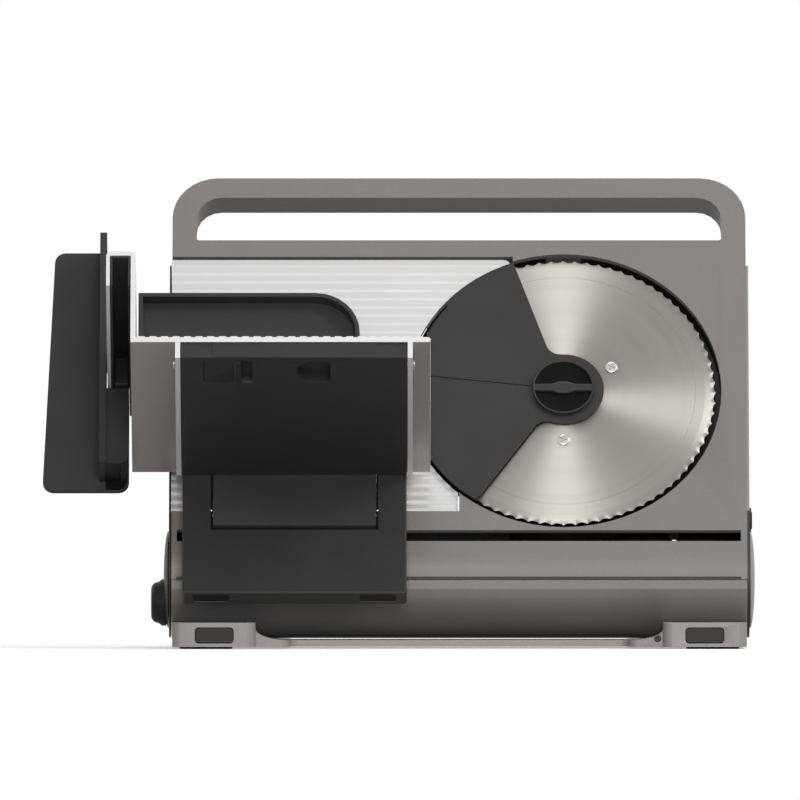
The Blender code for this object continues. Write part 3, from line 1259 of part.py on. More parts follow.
def channel_liner(parent, mat):
    """Bent strip that lines the channel, so that the runner glides."""
    left = CHANNEL_LEFT + CHANNEL_LEG + GAP
    right = TABLE_LEFT - GAP
    top = WALL_TOP - WALL_THICK - GAP
    low = WALL_TOP - CHANNEL_DROP
    thick = LINER_THICK
    loop = [(left, low), (left + thick, low), (left + thick, top - thick), (right - thick, top - thick),
            (right - thick, low), (right, low), (right, top), (left, top)]
    return finish(plate("liner", loop, TABLE_BACK, TABLE_FRONT), "channel_liner", parent, mat)


def holder_runner(parent, mat):
    """Block in the channel that carries the remnant holder, on the guard's own block."""
    left = CHANNEL_LEFT + CHANNEL_LEG + LINER_THICK + GAP * 2
    right = TABLE_LEFT - LINER_THICK - GAP * 2
    top = WALL_TOP - WALL_THICK - LINER_THICK - GAP * 2
    back = GUARD_BACK + GUARD_THICK + GAP
    body = box("runner", left, right, BLOCK_TOP + GAP, top, back, RUNNER_FRONT)
    soften(body, GAP * 2, 1)
    return finish(body, "holder_runner", parent, mat)


def food_plate(parent, mat):
    """Dish that pushes the food, open to the user."""
    outer = rounded([(FOOD_LEFT, FOOD_LOW), (FOOD_RIGHT, FOOD_LOW), (FOOD_RIGHT, FOOD_HIGH),
                     (FOOD_LEFT, FOOD_HIGH)], [0, SLAB_ROUND, FOOD_CORNER, 0], 8)
    body = plate("dish", outer, FOOD_BACK, FOOD_BACK + FOOD_RIM + FOOD_SHEET)
    inner = rounded([(FOOD_LEFT + FOOD_SHEET, FOOD_LOW + FOOD_SHEET),
                     (FOOD_RIGHT - FOOD_SHEET, FOOD_LOW + FOOD_SHEET),
                     (FOOD_RIGHT - FOOD_SHEET, FOOD_HIGH - FOOD_SHEET),
                     (FOOD_LEFT + FOOD_SHEET, FOOD_HIGH - FOOD_SHEET)],
                    [0, 0, FOOD_CORNER - FOOD_SHEET, 0], 8)
    cut(body, plate("dish_hollow", inner, FOOD_BACK + FOOD_SHEET, FOOD_BACK + FOOD_RIM + FOOD_SHEET + OVERRUN))
    return finish(body, "food_plate", parent, mat)


def spike_plate(parent, mat):
    """Thin plate on the back of the food plate with rows of short spikes."""
    front = FOOD_BACK - GAP
    back = front - SPIKE_PLATE
    x0, x1 = FOOD_LEFT + SPIKE_MARGIN, FOOD_RIGHT - SPIKE_MARGIN
    t0, t1 = FOOD_LOW + SPIKE_MARGIN, FOOD_HIGH - FOOD_CORNER
    body = box("carrier", x0, x1, t0, t1, back, front)
    for column in range(SPIKE_COLUMNS):
        for row in range(SPIKE_ROWS):
            x = x0 + (x1 - x0) * (column + 0.5) / SPIKE_COLUMNS
            t = t0 + (t1 - t0) * (row + 0.5) / SPIKE_ROWS
            place = at(x, t, back + GAP) @ FACE @ Matrix.Rotation(math.pi, 4, "X")
            join(body, cylinder("spike", SPIKE_RADIUS, SPIKE_LENGTH + GAP, place, 8, SPIKE_RADIUS / 5))
    return finish(body, "spike_plate", parent, mat)


def hand_guard(parent, mat):
    """Guard plate beside the food plate, with a fin and a block towards the user and a bridge over the
    channel."""
    notch = CHANNEL_LEFT - GAP * 2
    front = GUARD_BACK + GUARD_THICK
    corner = GUARD_CORNER
    loop = rounded([(GUARD_LEFT, GUARD_LOW), (GUARD_RIGHT, GUARD_LOW), (GUARD_RIGHT, GUARD_STEP),
                    (notch, GUARD_STEP), (notch, GUARD_HIGH), (GUARD_LEFT_TOP, GUARD_HIGH)],
                   [corner, corner, 0, 0, 0, corner], 4)
    body = plate("guard", loop, GUARD_BACK, front)
    bridge_low = WALL_TOP + GAP * 2
    edge = notch - FIN_THICK / 2
    block = rounded([(edge, BLOCK_LOW), (GUARD_RIGHT, BLOCK_LOW), (GUARD_RIGHT, BLOCK_TOP), (edge, BLOCK_TOP)],
                    [0, corner, 0, 0], 4)
    join(body,
         box("fin", notch - FIN_THICK, notch, FIN_LOW, GUARD_HIGH, front - GUARD_THICK / 2, FIN_FRONT),
         box("bridge", notch - FIN_THICK / 2, FOOD_LEFT - GAP, bridge_low, bridge_low + BRIDGE_HEIGHT,
             GUARD_BACK, GUARD_BACK + BRIDGE_DEPTH),
         plate("block", block, front - GUARD_THICK / 2, BLOCK_FRONT))
    return finish(body, "hand_guard", parent, mat)


def base_frame(parent, mat):
    """Two foot legs joined by a low plate, with a saddle that the drum lies in."""
    span = LEG_INNER - FILLET_RUN
    section = [(-LEG_OUTER, FOOT_HEIGHT), (LEG_OUTER, FOOT_HEIGHT), (LEG_OUTER, LEG_TOP)]
    steps = 6
    right = [(LEG_INNER, LEG_TOP)]
    for index in range(steps + 1):
        turn = math.pi / 2 * index / steps
        right.append((span + FILLET_RUN * math.cos(turn), FILLET_TOP - (FILLET_TOP - PLATE_TOP) * math.sin(turn)))
    left = [(-x, z) for x, z in reversed(right)]
    section += right + left + [(-LEG_OUTER, LEG_TOP)]
    body = raised("base", section, BASE_BACK - BASE_FRONT, world(0, BASE_BACK, 0) @ FACE)
    front, back = BASE_FRONT, BASE_BACK
    plan = rounded(
        [(-LEG_OUTER, front), (-LEG_INNER, front), (-LEG_INNER, front + FILLET_SETBACK),
         (-span, front + FILLET_SETBACK), (-span, front + WINDOW_DEPTH), (span, front + WINDOW_DEPTH),
         (span, front + FILLET_SETBACK), (LEG_INNER, front + FILLET_SETBACK), (LEG_INNER, front),
         (LEG_OUTER, front), (LEG_OUTER, back), (span, back), (span, back - WINDOW_DEPTH),
         (-span, back - WINDOW_DEPTH), (-span, back), (-LEG_OUTER, back)],
        [LEG_CORNER] * 2 + [SETBACK_ROUND] + [LEG_CORNER] * 4 + [SETBACK_ROUND] + [LEG_CORNER] * 8, 4)
    common(body, raised("plan", plan, LEG_TOP + OVERRUN, world(0, 0, 0)))
    cut(body, cylinder("saddle", DRUM_RADIUS + GAP, 2 * LEG_OUTER + 2 * OVERRUN,
                       world(-LEG_OUTER - OVERRUN, 0, DRUM_AXIS_HEIGHT) @ SIDE, FINE))
    for x, y in foot_places():
        cut(body, foot_block("foot_pocket", x, y, GAP, FOOT_HEIGHT + FOOT_POCKET))
    for side in (-1, 1):
        cut(body, insert_block(side, GAP))
    cut(body, cylinder("screw_hole", BASE_SCREW_RADIUS + GAP, BASE_SCREW_LENGTH + GAP,
                       world(BASE_SCREW_X, BASE_SCREW_Y + BASE_SCREW_LENGTH, BASE_SCREW_Z) @ FACE, SMALL))
    return finish(body, "base_frame", parent, mat)


def foot_places():
    middle = (FOOT_LEFT + FOOT_RIGHT) / 2
    front = BASE_FRONT + FOOT_MARGIN + FOOT_LENGTH / 2
    back = BASE_BACK - FOOT_MARGIN - FOOT_LENGTH / 2
    return [(-middle, front), (middle, front), (-middle, back), (middle, back)]


def foot_block(name, x, y, grow, height):
    half_x = (FOOT_RIGHT - FOOT_LEFT) / 2 + grow
    half_y = FOOT_LENGTH / 2 + grow
    loop = rectangle(x - half_x, x + half_x, y - half_y, y + half_y, LEG_CORNER, 3)
    return raised(name, loop, height, world(0, 0, 0))


def rubber_foot(node, x, y, parent, mat):
    body = foot_block("foot", x, y, 0, FOOT_HEIGHT + FOOT_POCKET - GAP)
    return finish(body, node, parent, mat)


def insert_block(side, grow):
    half_x = INSERT_WIDTH / 2 + grow
    half_z = INSERT_HEIGHT / 2 + grow
    middle = (FOOT_HEIGHT + LEG_TOP) / 2 - GAP
    loop = rectangle(side * INSERT_X - half_x, side * INSERT_X + half_x, middle - half_z, middle + half_z,
                     INSERT_CORNER, 3)
    back = BASE_FRONT + INSERT_DEEP + grow
    front = BASE_FRONT - OVERRUN if grow else BASE_FRONT + GAP
    return raised("insert", loop, back - front, world(0, back, 0) @ FACE)


def leg_insert(node, side, parent, mat):
    return finish(insert_block(side, 0), node, parent, mat)


def base_screw(parent, mat):
    place = world(BASE_SCREW_X, BASE_SCREW_Y + BASE_SCREW_LENGTH - GAP, BASE_SCREW_Z) @ FACE
    body = cylinder("screw", BASE_SCREW_RADIUS, BASE_SCREW_LENGTH - GAP * 2, place, SMALL)
    return finish(body, "base_screw", parent, mat)


def switch_bezel(parent, mat):
    """Ring in the right side plate, with a collar through the wall."""
    inner = BUTTON_RADIUS + RUNNING * 2
    depth = CAP_FACE - BODY_HALF + SHEET
    profile = [(SWITCH_RADIUS + GAP * 2, SWITCH_BEZEL), (SWITCH_RADIUS + GAP * 2, 0), (SWITCH_RADIUS, 0),
               (SWITCH_RADIUS, -depth), (inner, -depth), (inner, SWITCH_BEZEL)]
    body = turned("bezel", profile, at(CAP_FACE, SWITCH_T, -SWITCH_DEPTH) @ SIDE, ROUND)
    return finish(body, "switch_bezel", parent, mat)


def switch_button(parent, mat):
    depth = CAP_FACE - BODY_HALF + SHEET
    rim = BUTTON_PROUD / 3
    profile = [(0, BUTTON_PROUD), (BUTTON_RADIUS - rim, BUTTON_PROUD), (BUTTON_RADIUS, BUTTON_PROUD - rim),
               (BUTTON_RADIUS, -depth + BUTTON_TRAVEL), (BUTTON_STEM, -depth + BUTTON_TRAVEL),
               (BUTTON_STEM, -depth - BUTTON_TRAVEL * 2), (0, -depth - BUTTON_TRAVEL * 2)]
    body = turned("button", profile, at(CAP_FACE, SWITCH_T, -SWITCH_DEPTH) @ SIDE, ROUND)
    return finish(body, "switch_button", parent, mat)


def switch_body(parent, mat):
    """Microswitch behind the button, with a bore for the button's stem."""
    right = BODY_HALF - SHEET - GAP
    half = SWITCH_BODY_HALF
    body = box("switch", right - SWITCH_BODY, right, SWITCH_T - half, SWITCH_T + half, -SWITCH_DEPTH - half,
               -SWITCH_DEPTH + half)
    cut(body, shaft("stem_hole", BUTTON_STEM + GAP, right - BUTTON_TRAVEL * 4, right + OVERRUN, SWITCH_T,
                    -SWITCH_DEPTH))
    return finish(body, "switch_body", parent, mat)


def cord_gland(parent, mat):
    face = -BODY_DEPTH - GAP
    profile = [(GLAND_RADIUS * GLAND_TIP_SHARE, GLAND_LENGTH), (GLAND_RADIUS, 0), (GLAND_SPIGOT, 0),
               (GLAND_SPIGOT, -SHEET), (GLAND_BORE, -SHEET), (GLAND_BORE, GLAND_LENGTH)]
    place = at(GLAND_X, GLAND_T, face) @ FACE @ Matrix.Rotation(math.pi, 4, "X")
    return finish(turned("gland", profile, place, SMALL), "cord_gland", parent, mat)


def rear_screw(node, x, height, parent, mat):
    face = -BODY_DEPTH - GAP
    profile = [(0, REAR_SCREW_HEAD), (REAR_SCREW_RADIUS * REAR_SCREW_CROWN_SHARE, REAR_SCREW_HEAD),
               (REAR_SCREW_RADIUS, REAR_SCREW_HEAD / 3), (REAR_SCREW_RADIUS, 0), (REAR_SCREW_SHANK, 0),
               (REAR_SCREW_SHANK, -SHEET * 2), (0, -SHEET * 2)]
    place = at(x, height, face) @ FACE @ Matrix.Rotation(math.pi, 4, "X")
    return finish(turned("screw", profile, place, SMALL), node, parent, mat)


def build():
    """Makes every piece; each moving group has an empty on its joint's axis."""
    bpy.context.view_layer.update()
    offset = (-(WIDEST_LEFT + WIDEST_RIGHT) / 2, -(FRONT_Y + BACK_Y) / 2, 0)
    machine = empty("machine", None, offset)
    panel = empty("panel_frame", machine, (0, LINE_Y, LINE_Z), LEAN)

    def group(name, x, t, d, parent=panel):
        return empty(name, parent, Vector((x, -d, t)))

    carriage = group("carriage", 0, RAIL_T, -RAIL_DEPTH)
    table = group("table_unit", 0, HINGE_T, HINGE_D)
    latch = group("latch_group", LATCH_LEFT, STRUT_UNDER, LATCH_BACK)
    holder = group("holder", CHANNEL_LEFT, WALL_TOP, GUARD_BACK)
    gauge = group("gauge", -BODY_HALF, OPENING_LOW, BLADE_FRONT)
    knob = group("thickness", -CAP_FACE, KNOB_T, KNOB_D)
    spin = group("blade_group", BLADE_X, BLADE_T, BLADE_FRONT)
    lock = group("lock", BLADE_X, BLADE_T, COVER_THICK)
    reduction = group("reduction", BLADE_X, PINION_T, -GEAR_SETBACK)
    drive = group("drive", MOTOR_LEFT, 0, -DRUM_RADIUS)
    switch = group("switch", CAP_FACE, SWITCH_T, -SWITCH_DEPTH)
    bpy.context.view_layer.update()
    for obj in PARTS.objects:
        FRAMES[obj.name] = panel.matrix_world.copy()
    FRAMES[machine.name] = machine.matrix_world.copy()

    panel_grey = make_material("panel_grey", (0.22, 0.20, 0.19), 0.45, 0.6)
    shell_grey = make_material("shell_grey", (0.25, 0.24, 0.23), 0.4, 0.6)
    leg_grey = make_material("leg_grey", (0.27, 0.25, 0.24), 0.4, 0.5)
    dark = make_material("dark_plastic", (0.05, 0.045, 0.042), 0.5, 0.0)
    slab_dark = make_material("slab_plastic", (0.035, 0.035, 0.035), 0.5, 0.0)
    silver = make_material("light_aluminium", (0.64, 0.63, 0.61), 0.35, 0.7)
    steel = make_material("blade_steel", (0.55, 0.52, 0.49), 0.25, 1.0)
    bright = make_material("bright_steel", (0.75, 0.75, 0.75), 0.2, 1.0)
    rubber = make_material("rubber", (0.02, 0.02, 0.02), 0.8, 0.0)
    nylon = make_material("nylon", (0.75, 0.72, 0.65), 0.5, 0.0)

    base_frame(machine, leg_grey)
    for name, (x, y) in zip(("foot_front_left", "foot_front_right", "foot_rear_left", "foot_rear_right"),
                            foot_places()):
        rubber_foot(name, x, y, machine, rubber)
    leg_insert("leg_insert_left", -1, machine, dark)
    leg_insert("leg_insert_right", 1, machine, dark)
    base_screw(machine, bright)

    front_panel(panel, panel_grey)
    rear_shell(panel, shell_grey)
    lower_shell(panel, shell_grey)
    side_plate("side_plate_left", -1, panel, dark)
    side_plate("side_plate_right", 1, panel, dark)
    side_cap("side_cap_left", -1, panel, leg_grey)
    side_cap("side_cap_right", 1, panel, leg_grey)
    cord_gland(panel, rubber)
    for row, height in zip(("low", "high"), REAR_SCREW_HEIGHTS):
        for side, x in (("left", -REAR_SCREW_X), ("right", REAR_SCREW_X)):
            rear_screw(f"rear_screw_{row}_{side}", x, height, panel, bright)

    motor(panel, bright)
    motor_saddle(panel, dark)
    worm_bearing(panel, bright)
    gear_bush(panel, bright)
    blade_axle(panel, bright)
    blade_cover(panel, dark)
    slide_rail(panel, bright)
    thickness_bearing(panel, nylon)
    for name, height in zip(("guide_rod_low", "guide_rod_high"), ROD_HEIGHTS):
        guide_rod(name, height, panel, bright)
    switch_bezel(panel, dark)
    switch_body(panel, dark)

    motor_shaft(drive, bright)
    reduction_gear(reduction, nylon)
    blade(spin, steel)
    blade_gear(spin, nylon)
    for index, place in enumerate(screw_places()):
        blade_screw(f"blade_screw_{index + 1}", place, spin, bright)
    blade_knob(lock, dark)
    switch_button(switch, dark)
    gauge_plate(gauge, silver)
    gauge_bracket(gauge, nylon)
    thickness_knob(knob, dark)
    thickness_shaft(knob, nylon)

    carriage_base(carriage, slab_dark)
    slide_shoe("slide_shoe_left", SLAB_LEFT + SHOE_HALF + GAP, carriage, nylon)
    slide_shoe("slide_shoe_right", SLAB_RIGHT - SHOE_HALF - GAP, carriage, nylon)
    hinge_pin("hinge_pin_left", NOTCH_LEFT, carriage, bright)
    hinge_pin("hinge_pin_right", NOTCH_RIGHT, carriage, bright)

    carriage_strut(table, dark)
    carriage_table(table, silver)
    table_pin("table_pin_left", -1, table, bright)
    table_pin("table_pin_right", 1, table, bright)
    channel_liner(table, dark)
    table_latch(latch, slab_dark)

    holder_runner(holder, dark)
    food_plate(holder, dark)
    spike_plate(holder, bright)
    hand_guard(holder, dark)


clear_scene()
PARTS = make_collection("meat_slicer")
CUTTERS = make_collection("cutters")
FRAMES = {}
build()
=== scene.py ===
"""Looks of a meat slicer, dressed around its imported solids.

The machine leans back, so most sizes are given in the panel frame, in metres: x along the machine,
t up the panel from the line where it meets the drum, and d out of the panel towards the user.
"""
from __future__ import annotations

import json
import logging
import math
from dataclasses import dataclass
from enum import Enum
from typing import Any, Callable, Sequence

import bmesh
import bpy
import numpy as np
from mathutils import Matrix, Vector

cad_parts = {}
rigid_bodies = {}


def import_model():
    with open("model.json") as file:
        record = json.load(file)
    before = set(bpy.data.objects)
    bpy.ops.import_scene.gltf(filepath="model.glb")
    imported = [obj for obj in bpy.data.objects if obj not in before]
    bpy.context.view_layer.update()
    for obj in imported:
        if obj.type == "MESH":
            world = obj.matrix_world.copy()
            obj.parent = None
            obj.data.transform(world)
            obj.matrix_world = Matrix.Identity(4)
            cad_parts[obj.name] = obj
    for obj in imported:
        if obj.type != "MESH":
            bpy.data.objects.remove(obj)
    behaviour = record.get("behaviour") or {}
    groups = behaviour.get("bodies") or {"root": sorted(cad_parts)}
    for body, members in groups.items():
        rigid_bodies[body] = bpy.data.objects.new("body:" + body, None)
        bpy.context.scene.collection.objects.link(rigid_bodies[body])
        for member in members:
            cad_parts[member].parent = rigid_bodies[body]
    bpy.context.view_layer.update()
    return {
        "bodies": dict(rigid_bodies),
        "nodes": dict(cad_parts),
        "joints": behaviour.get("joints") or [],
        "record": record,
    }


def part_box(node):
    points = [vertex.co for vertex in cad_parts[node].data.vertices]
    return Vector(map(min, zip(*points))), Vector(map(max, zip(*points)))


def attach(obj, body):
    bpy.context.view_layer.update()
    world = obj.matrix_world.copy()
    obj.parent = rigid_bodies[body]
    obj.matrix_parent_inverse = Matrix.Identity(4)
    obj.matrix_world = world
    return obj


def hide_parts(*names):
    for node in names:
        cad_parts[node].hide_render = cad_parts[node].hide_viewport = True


Piece = bpy.types.Object
Tree = bpy.types.NodeTree
Socket = bpy.types.NodeSocket
Places = np.ndarray | float
Shaping = Callable[[np.ndarray, np.ndarray, np.ndarray], tuple[np.ndarray, np.ndarray]]

LOG = logging.getLogger("meat_slicer")
MM = 0.001
WHITE = (1.0, 1.0, 1.0, 1.0)
LEAN = math.radians(30)
PANEL_ORIGIN = np.array([0.03335, -0.0133836, 0.05425])
ALONG = np.array([1.0, 0.0, 0.0])
FORWARD = np.array([0.0, -1.0, 0.0])
UPRIGHT = np.array([0.0, 0.0, 1.0])
UP_PANEL = np.array([0.0, math.sin(LEAN), math.cos(LEAN)])
OUT = np.array([0.0, -math.cos(LEAN), math.sin(LEAN)])
PANEL_AXES = (ALONG, UP_PANEL, OUT)
BLADE_X, BLADE_T = 0.0583, 0.1028       # the blade's axis on the panel
MERGE_REACH = 2e-6                      # points of a solid that are nearer than this are one
FLAT_TURN = math.radians(0.6)           # faces of a solid that turn less than this are one
TURNING_MAP = "turning"                 # UV map of the blade, whose U runs round its axis


class Slot(Enum):
    """Material slots of the record."""

    PANEL = "panel_grey"
    SHELL = "shell_grey"
    LEG = "leg_grey"
    DARK = "dark_plastic"
    SLAB = "slab_plastic"
    LIGHT = "light_aluminium"
    BLADE = "blade_steel"
    BRIGHT = "bright_steel"
    RUBBER = "rubber"
    NYLON = "nylon"


class Special(Enum):
    """Finishes of single pieces, each in place of its slot's common one."""

    GAUGE = "gauge"
    KNOB = "knob"
    PAINTED_SHADE = "recess"
    GUARD = "guard"
    DARK_STEEL_AND_SHADE = "blackened"
    SIDE_PLATE = "side_plate"
    SHADE_DARKENED = "greased"


class Side(Enum):
    """Ends of the machine, as the sign of x."""

    LEFT = -1
    RIGHT = 1


# Mesh helpers


def on_panel(x: Places, t: Places, d: Places) -> np.ndarray:
    """Points for places in the panel frame: origin + x·along + t·up + d·out.

    Args:
        x: Places along the machine, in metres.
        t: Places up the panel.
        d: Places out of the panel.

    Returns:
        An array with one more axis, of length 3, than x, t and d broadcast together.
    """
    x, t, d = np.broadcast_arrays(*(np.asarray(v, float) for v in (x, t, d)))
    return PANEL_ORIGIN + x[..., None] * ALONG + t[..., None] * UP_PANEL + d[..., None] * OUT


BLADE_CENTRE = on_panel(BLADE_X, BLADE_T, 0)


def grid_faces(rows: int, cols: int, wrap_rows: bool = False, wrap_cols: bool = False) -> np.ndarray:
    """Quads of a grid whose vertex (i, j) has the index i·cols + j.

    Args:
        rows: Count of rows.
        cols: Count of columns.
        wrap_rows: Whether the last row joins the first.
        wrap_cols: Whether the last column joins the first.

    Returns:
        An (n, 4) array of vertex indices.
    """
    i = np.arange(rows if wrap_rows else rows - 1)[:, None]
    j = np.arange(cols if wrap_cols else cols - 1)[None, :]
    k, m = (i + 1) % rows, (j + 1) % cols
    return np.stack([i * cols + j, i * cols + m, k * cols + m, k * cols + j], axis=-1).reshape(-1, 4)


def written(name: str, mesh: bpy.types.Mesh, bm: bmesh.types.BMesh, smooth: float) -> Piece:
    """Writes an edited mesh back, and puts it in the scene as a smooth object with sharp edges.

    Args:
        name: Name of the piece.
        mesh: The mesh.
        bm: Its edited form, which is freed.
        smooth: Edges sharper than this many degrees stay sharp.

    Returns:
        The new object, at the origin.
    """
    bm.to_mesh(mesh)
    bm.free()
    mesh.materials.clear()
    mesh.shade_smooth()
    mesh.set_sharp_from_angle(angle=math.radians(smooth))
    obj = bpy.data.objects.new(name, mesh)
    bpy.context.scene.collection.objects.link(obj)
    return obj


def closed(name: str, points: np.ndarray, faces: Sequence[Sequence[int]], smooth: float) -> Piece:
    """Closed piece whose doubled points are merged and whose faces look outwards.

    Args:
        name: Name of the piece.
        points: (n, 3) array of vertices.
        faces: Faces as lists of vertex indices.
        smooth: Edges sharper than this many degrees stay sharp.

    Returns:
        The new object.
    """
    mesh = bpy.data.meshes.new(name)
    mesh.from_pydata(points.reshape(-1, 3).tolist(), [], [list(map(int, face)) for face in faces])
    bm = bmesh.new()
    bm.from_mesh(mesh)
    bmesh.ops.remove_doubles(bm, verts=bm.verts, dist=1e-6)
    bmesh.ops.dissolve_degenerate(bm, edges=bm.edges, dist=1e-7)
    bmesh.ops.recalc_face_normals(bm, faces=bm.faces)
    return written(name, mesh, bm, smooth)


def turned(
    name: str,
    profile: Sequence[tuple[float, float]],
    centre: np.ndarray,
    axes: tuple[np.ndarray, np.ndarray, np.ndarray] = PANEL_AXES,
    steps: int = 96,
    shape: Shaping | None = None,
    smooth: float = 35,
) -> Piece:
    """Profile turned about an axis: point = centre + r·(cos a·first + sin a·second) + h·axis.

    Args:
        name: Name of the piece.
        profile: Points (radius, height), from the top's middle down to the foot's middle.
        centre: Place of radius 0 and height 0.
        axes: First and second direction of the circle, and the axis.
        steps: Count of points round the circle.
        shape: Changes the radii and heights, given the angles: the teeth or recess of the piece.
        smooth: Edges sharper than this many degrees stay sharp.

    Returns:
        The new object.
    """
    angles = np.linspace(0, 2 * np.pi, steps, endpoint=False)[None, :]
    radii = np.array([p[0] for p in profile])[:, None] + 0 * angles
    heights = np.array([p[1] for p in profile])[:, None] + 0 * angles
    if shape:
        radii, heights = shape(radii, heights, angles + 0 * radii)
    first, second, axis = axes
    points = (centre + (radii * np.cos(angles))[..., None] * first
              + (radii * np.sin(angles))[..., None] * second + heights[..., None] * axis)
    faces = grid_faces(len(profile), steps, wrap_rows=profile[0][0] > 0, wrap_cols=True)
    return closed(name, points, faces, smooth)


def slab(name: str, front: np.ndarray, back: np.ndarray, smooth: float = 35) -> Piece:
    """Closed plate between two grids of the same size, with a strip of faces along each border.

    Args:
        name: Name of the piece.
        front: (rows, cols, 3) array of points.
        back: The same for the other side.
        smooth: Edges sharper than this many degrees stay sharp.

    Returns:
        The new object.
    """
    rows, cols = front.shape[:2]
    count = rows * cols
    index = np.arange(count).reshape(rows, cols)
    border = np.concatenate([index[0, :-1], index[:-1, -1], index[-1, :0:-1], index[:0:-1, 0]])
    after = np.roll(border, -1)
    sides = np.stack([border, after, after + count, border + count], axis=-1)
    faces = np.concatenate([grid_faces(rows, cols), grid_faces(rows, cols) + count, sides])
    return closed(name, np.concatenate([front.reshape(-1, 3), back.reshape(-1, 3)]), faces, smooth)


def merged(name: str, node: Piece) -> tuple[bpy.types.Mesh, bmesh.types.BMesh]:
    """Copy of a solid's mesh with its doubles merged and its flat faces joined, open for edits.

    Args:
        name: Name of the copy.
        node: The solid to copy.

    Returns:
        The new mesh and its edited form.
    """
    mesh = node.data.copy()
    mesh.name = name
    bm = bmesh.new()
    bm.from_mesh(mesh)
    bmesh.ops.remove_doubles(bm, verts=bm.verts, dist=MERGE_REACH)
    bmesh.ops.dissolve_limit(bm, angle_limit=FLAT_TURN, verts=bm.verts, edges=bm.edges)
    return mesh, bm


def softened(name: str, node: Piece, width: float, segments: int = 2, angle: float = 30) -> Piece:
    """Copy of a solid whose edges are rounded.

    Args:
        name: Name of the piece.
        node: The solid to copy.
        width: Width of the rounding, in metres.
        segments: Faces across the rounding.
        angle: Edges sharper than this many degrees are rounded.

    Returns:
        The new object.
    """
    obj = written(name, *merged(name, node), angle)
    rounding = obj.modifiers.new("Rounding", "BEVEL")
    rounding.width = width
    rounding.segments = segments
    rounding.limit_method = "ANGLE"
    rounding.angle_limit = math.radians(angle)
    rounding.use_clamp_overlap = True
    rounding.harden_normals = True
    return obj


# Finishes


def linear(code: str) -> tuple[float, float, float, float]:
    """Linear colour of an sRGB hex code.

    Args:
        code: Six hex digits.

    Returns:
        Red, green, blue and an alpha of one.
    """
    parts = [int(code[k:k + 2], 16) / 255 for k in (0, 2, 4)]
    red, green, blue = (c / 12.92 if c <= 0.04045 else ((c + 0.055) / 1.055) ** 2.4 for c in parts)
    return (red, green, blue, 1.0)


def add(tree: Tree, kind: str, inputs: dict[Any, Any] | None = None, **settings: Any) -> bpy.types.Node:
    """Adds a node with its settings, and sets or links its inputs.

    Args:
        tree: Node tree to add to.
        kind: The node's type.
        inputs: Input names or numbers, each with a value or an output socket.
        settings: Attributes of the node.

    Returns:
        The new node.
    """
    node = tree.nodes.new(kind)
    for key, value in settings.items():
        setattr(node, key, value)
    for key, value in (inputs or {}).items():
        if isinstance(value, Socket):
            tree.links.new(value, node.inputs[key])
        else:
            node.inputs[key].default_value = value
    return node


def per_mm(size: float) -> float:
    """Scale of a pattern whose features are this many millimetres wide, on places in metres."""
    return 1 / (size * MM)


class Batch:
    """Material while it is mixed: its tree, its shader, and the places that its patterns follow."""

    def __init__(self, name: str) -> None:
        """Opens a material.

        Args:
            name: The material's name.
        """
        self.material = bpy.data.materials.new(name)
        self.material.use_nodes = True
        self.tree = self.material.node_tree
        self.shader = self.tree.nodes["Principled BSDF"]
        self.place = add(self.tree, "ShaderNodeTexCoord").outputs["Object"]

    def tone(self, pattern: Socket, reach: Sequence[float], first: Socket | str,
             second: str) -> Socket:
        """Colour between two, in which the second's share rises with a pattern.

        Args:
            pattern: The pattern's value.
            reach: Its lowest and highest value, and the second colour's share at each.
            first: First colour, as a hex code or a socket.
            second: Second colour, as a hex code.

        Returns:
            The socket with the mixed colour.
        """
        low, high, least, most = reach
        share = add(self.tree, "ShaderNodeMapRange", {0: pattern, 1: low, 2: high, 3: least, 4: most})
        start = linear(first) if isinstance(first, str) else first
        return add(self.tree, "ShaderNodeMix", {0: share.outputs[0], 6: start, 7: linear(second)},
                   data_type="RGBA").outputs[2]

    def surface(self, tone: Socket, pattern: Socket, roughness: float, spread: Sequence[float]) -> None:
        """Links the colour, and a roughness that wanders with a pattern.

        Args:
            tone: The colour.
            pattern: The pattern's value.
            roughness: The usual roughness.
            spread: How far it goes down where the pattern is low, and up where it is high.
        """
        least, most = roughness - spread[0], roughness + spread[1]
        gloss = add(self.tree, "ShaderNodeMapRange", {0: pattern, 1: 0.3, 2: 0.7, 3: least, 4: most})
        self.tree.links.new(tone, self.shader.inputs["Base Color"])
        self.tree.links.new(gloss.outputs[0], self.shader.inputs["Roughness"])

    def relief(self, height: Socket, strength: float, depth_mm: float) -> None:
        """Links a fine relief.

        Args:
            height: Its height, from zero to one.
            strength: How strongly it shows.
            depth_mm: Its depth in millimetres.
        """
        bump = add(self.tree, "ShaderNodeBump",
                   {"Height": height, "Strength": strength, "Distance": depth_mm * MM})
        self.tree.links.new(bump.outputs[0], self.shader.inputs["Normal"])

    def done(self, **values: float) -> bpy.types.Material:
        """Sets plain values on the shader.

        Args:
            values: Inputs of the shader, with _ for each space.

        Returns:
            The finished material.
        """
        for key, value in values.items():
            self.shader.inputs[key.replace("_", " ")].default_value = value
        return self.material


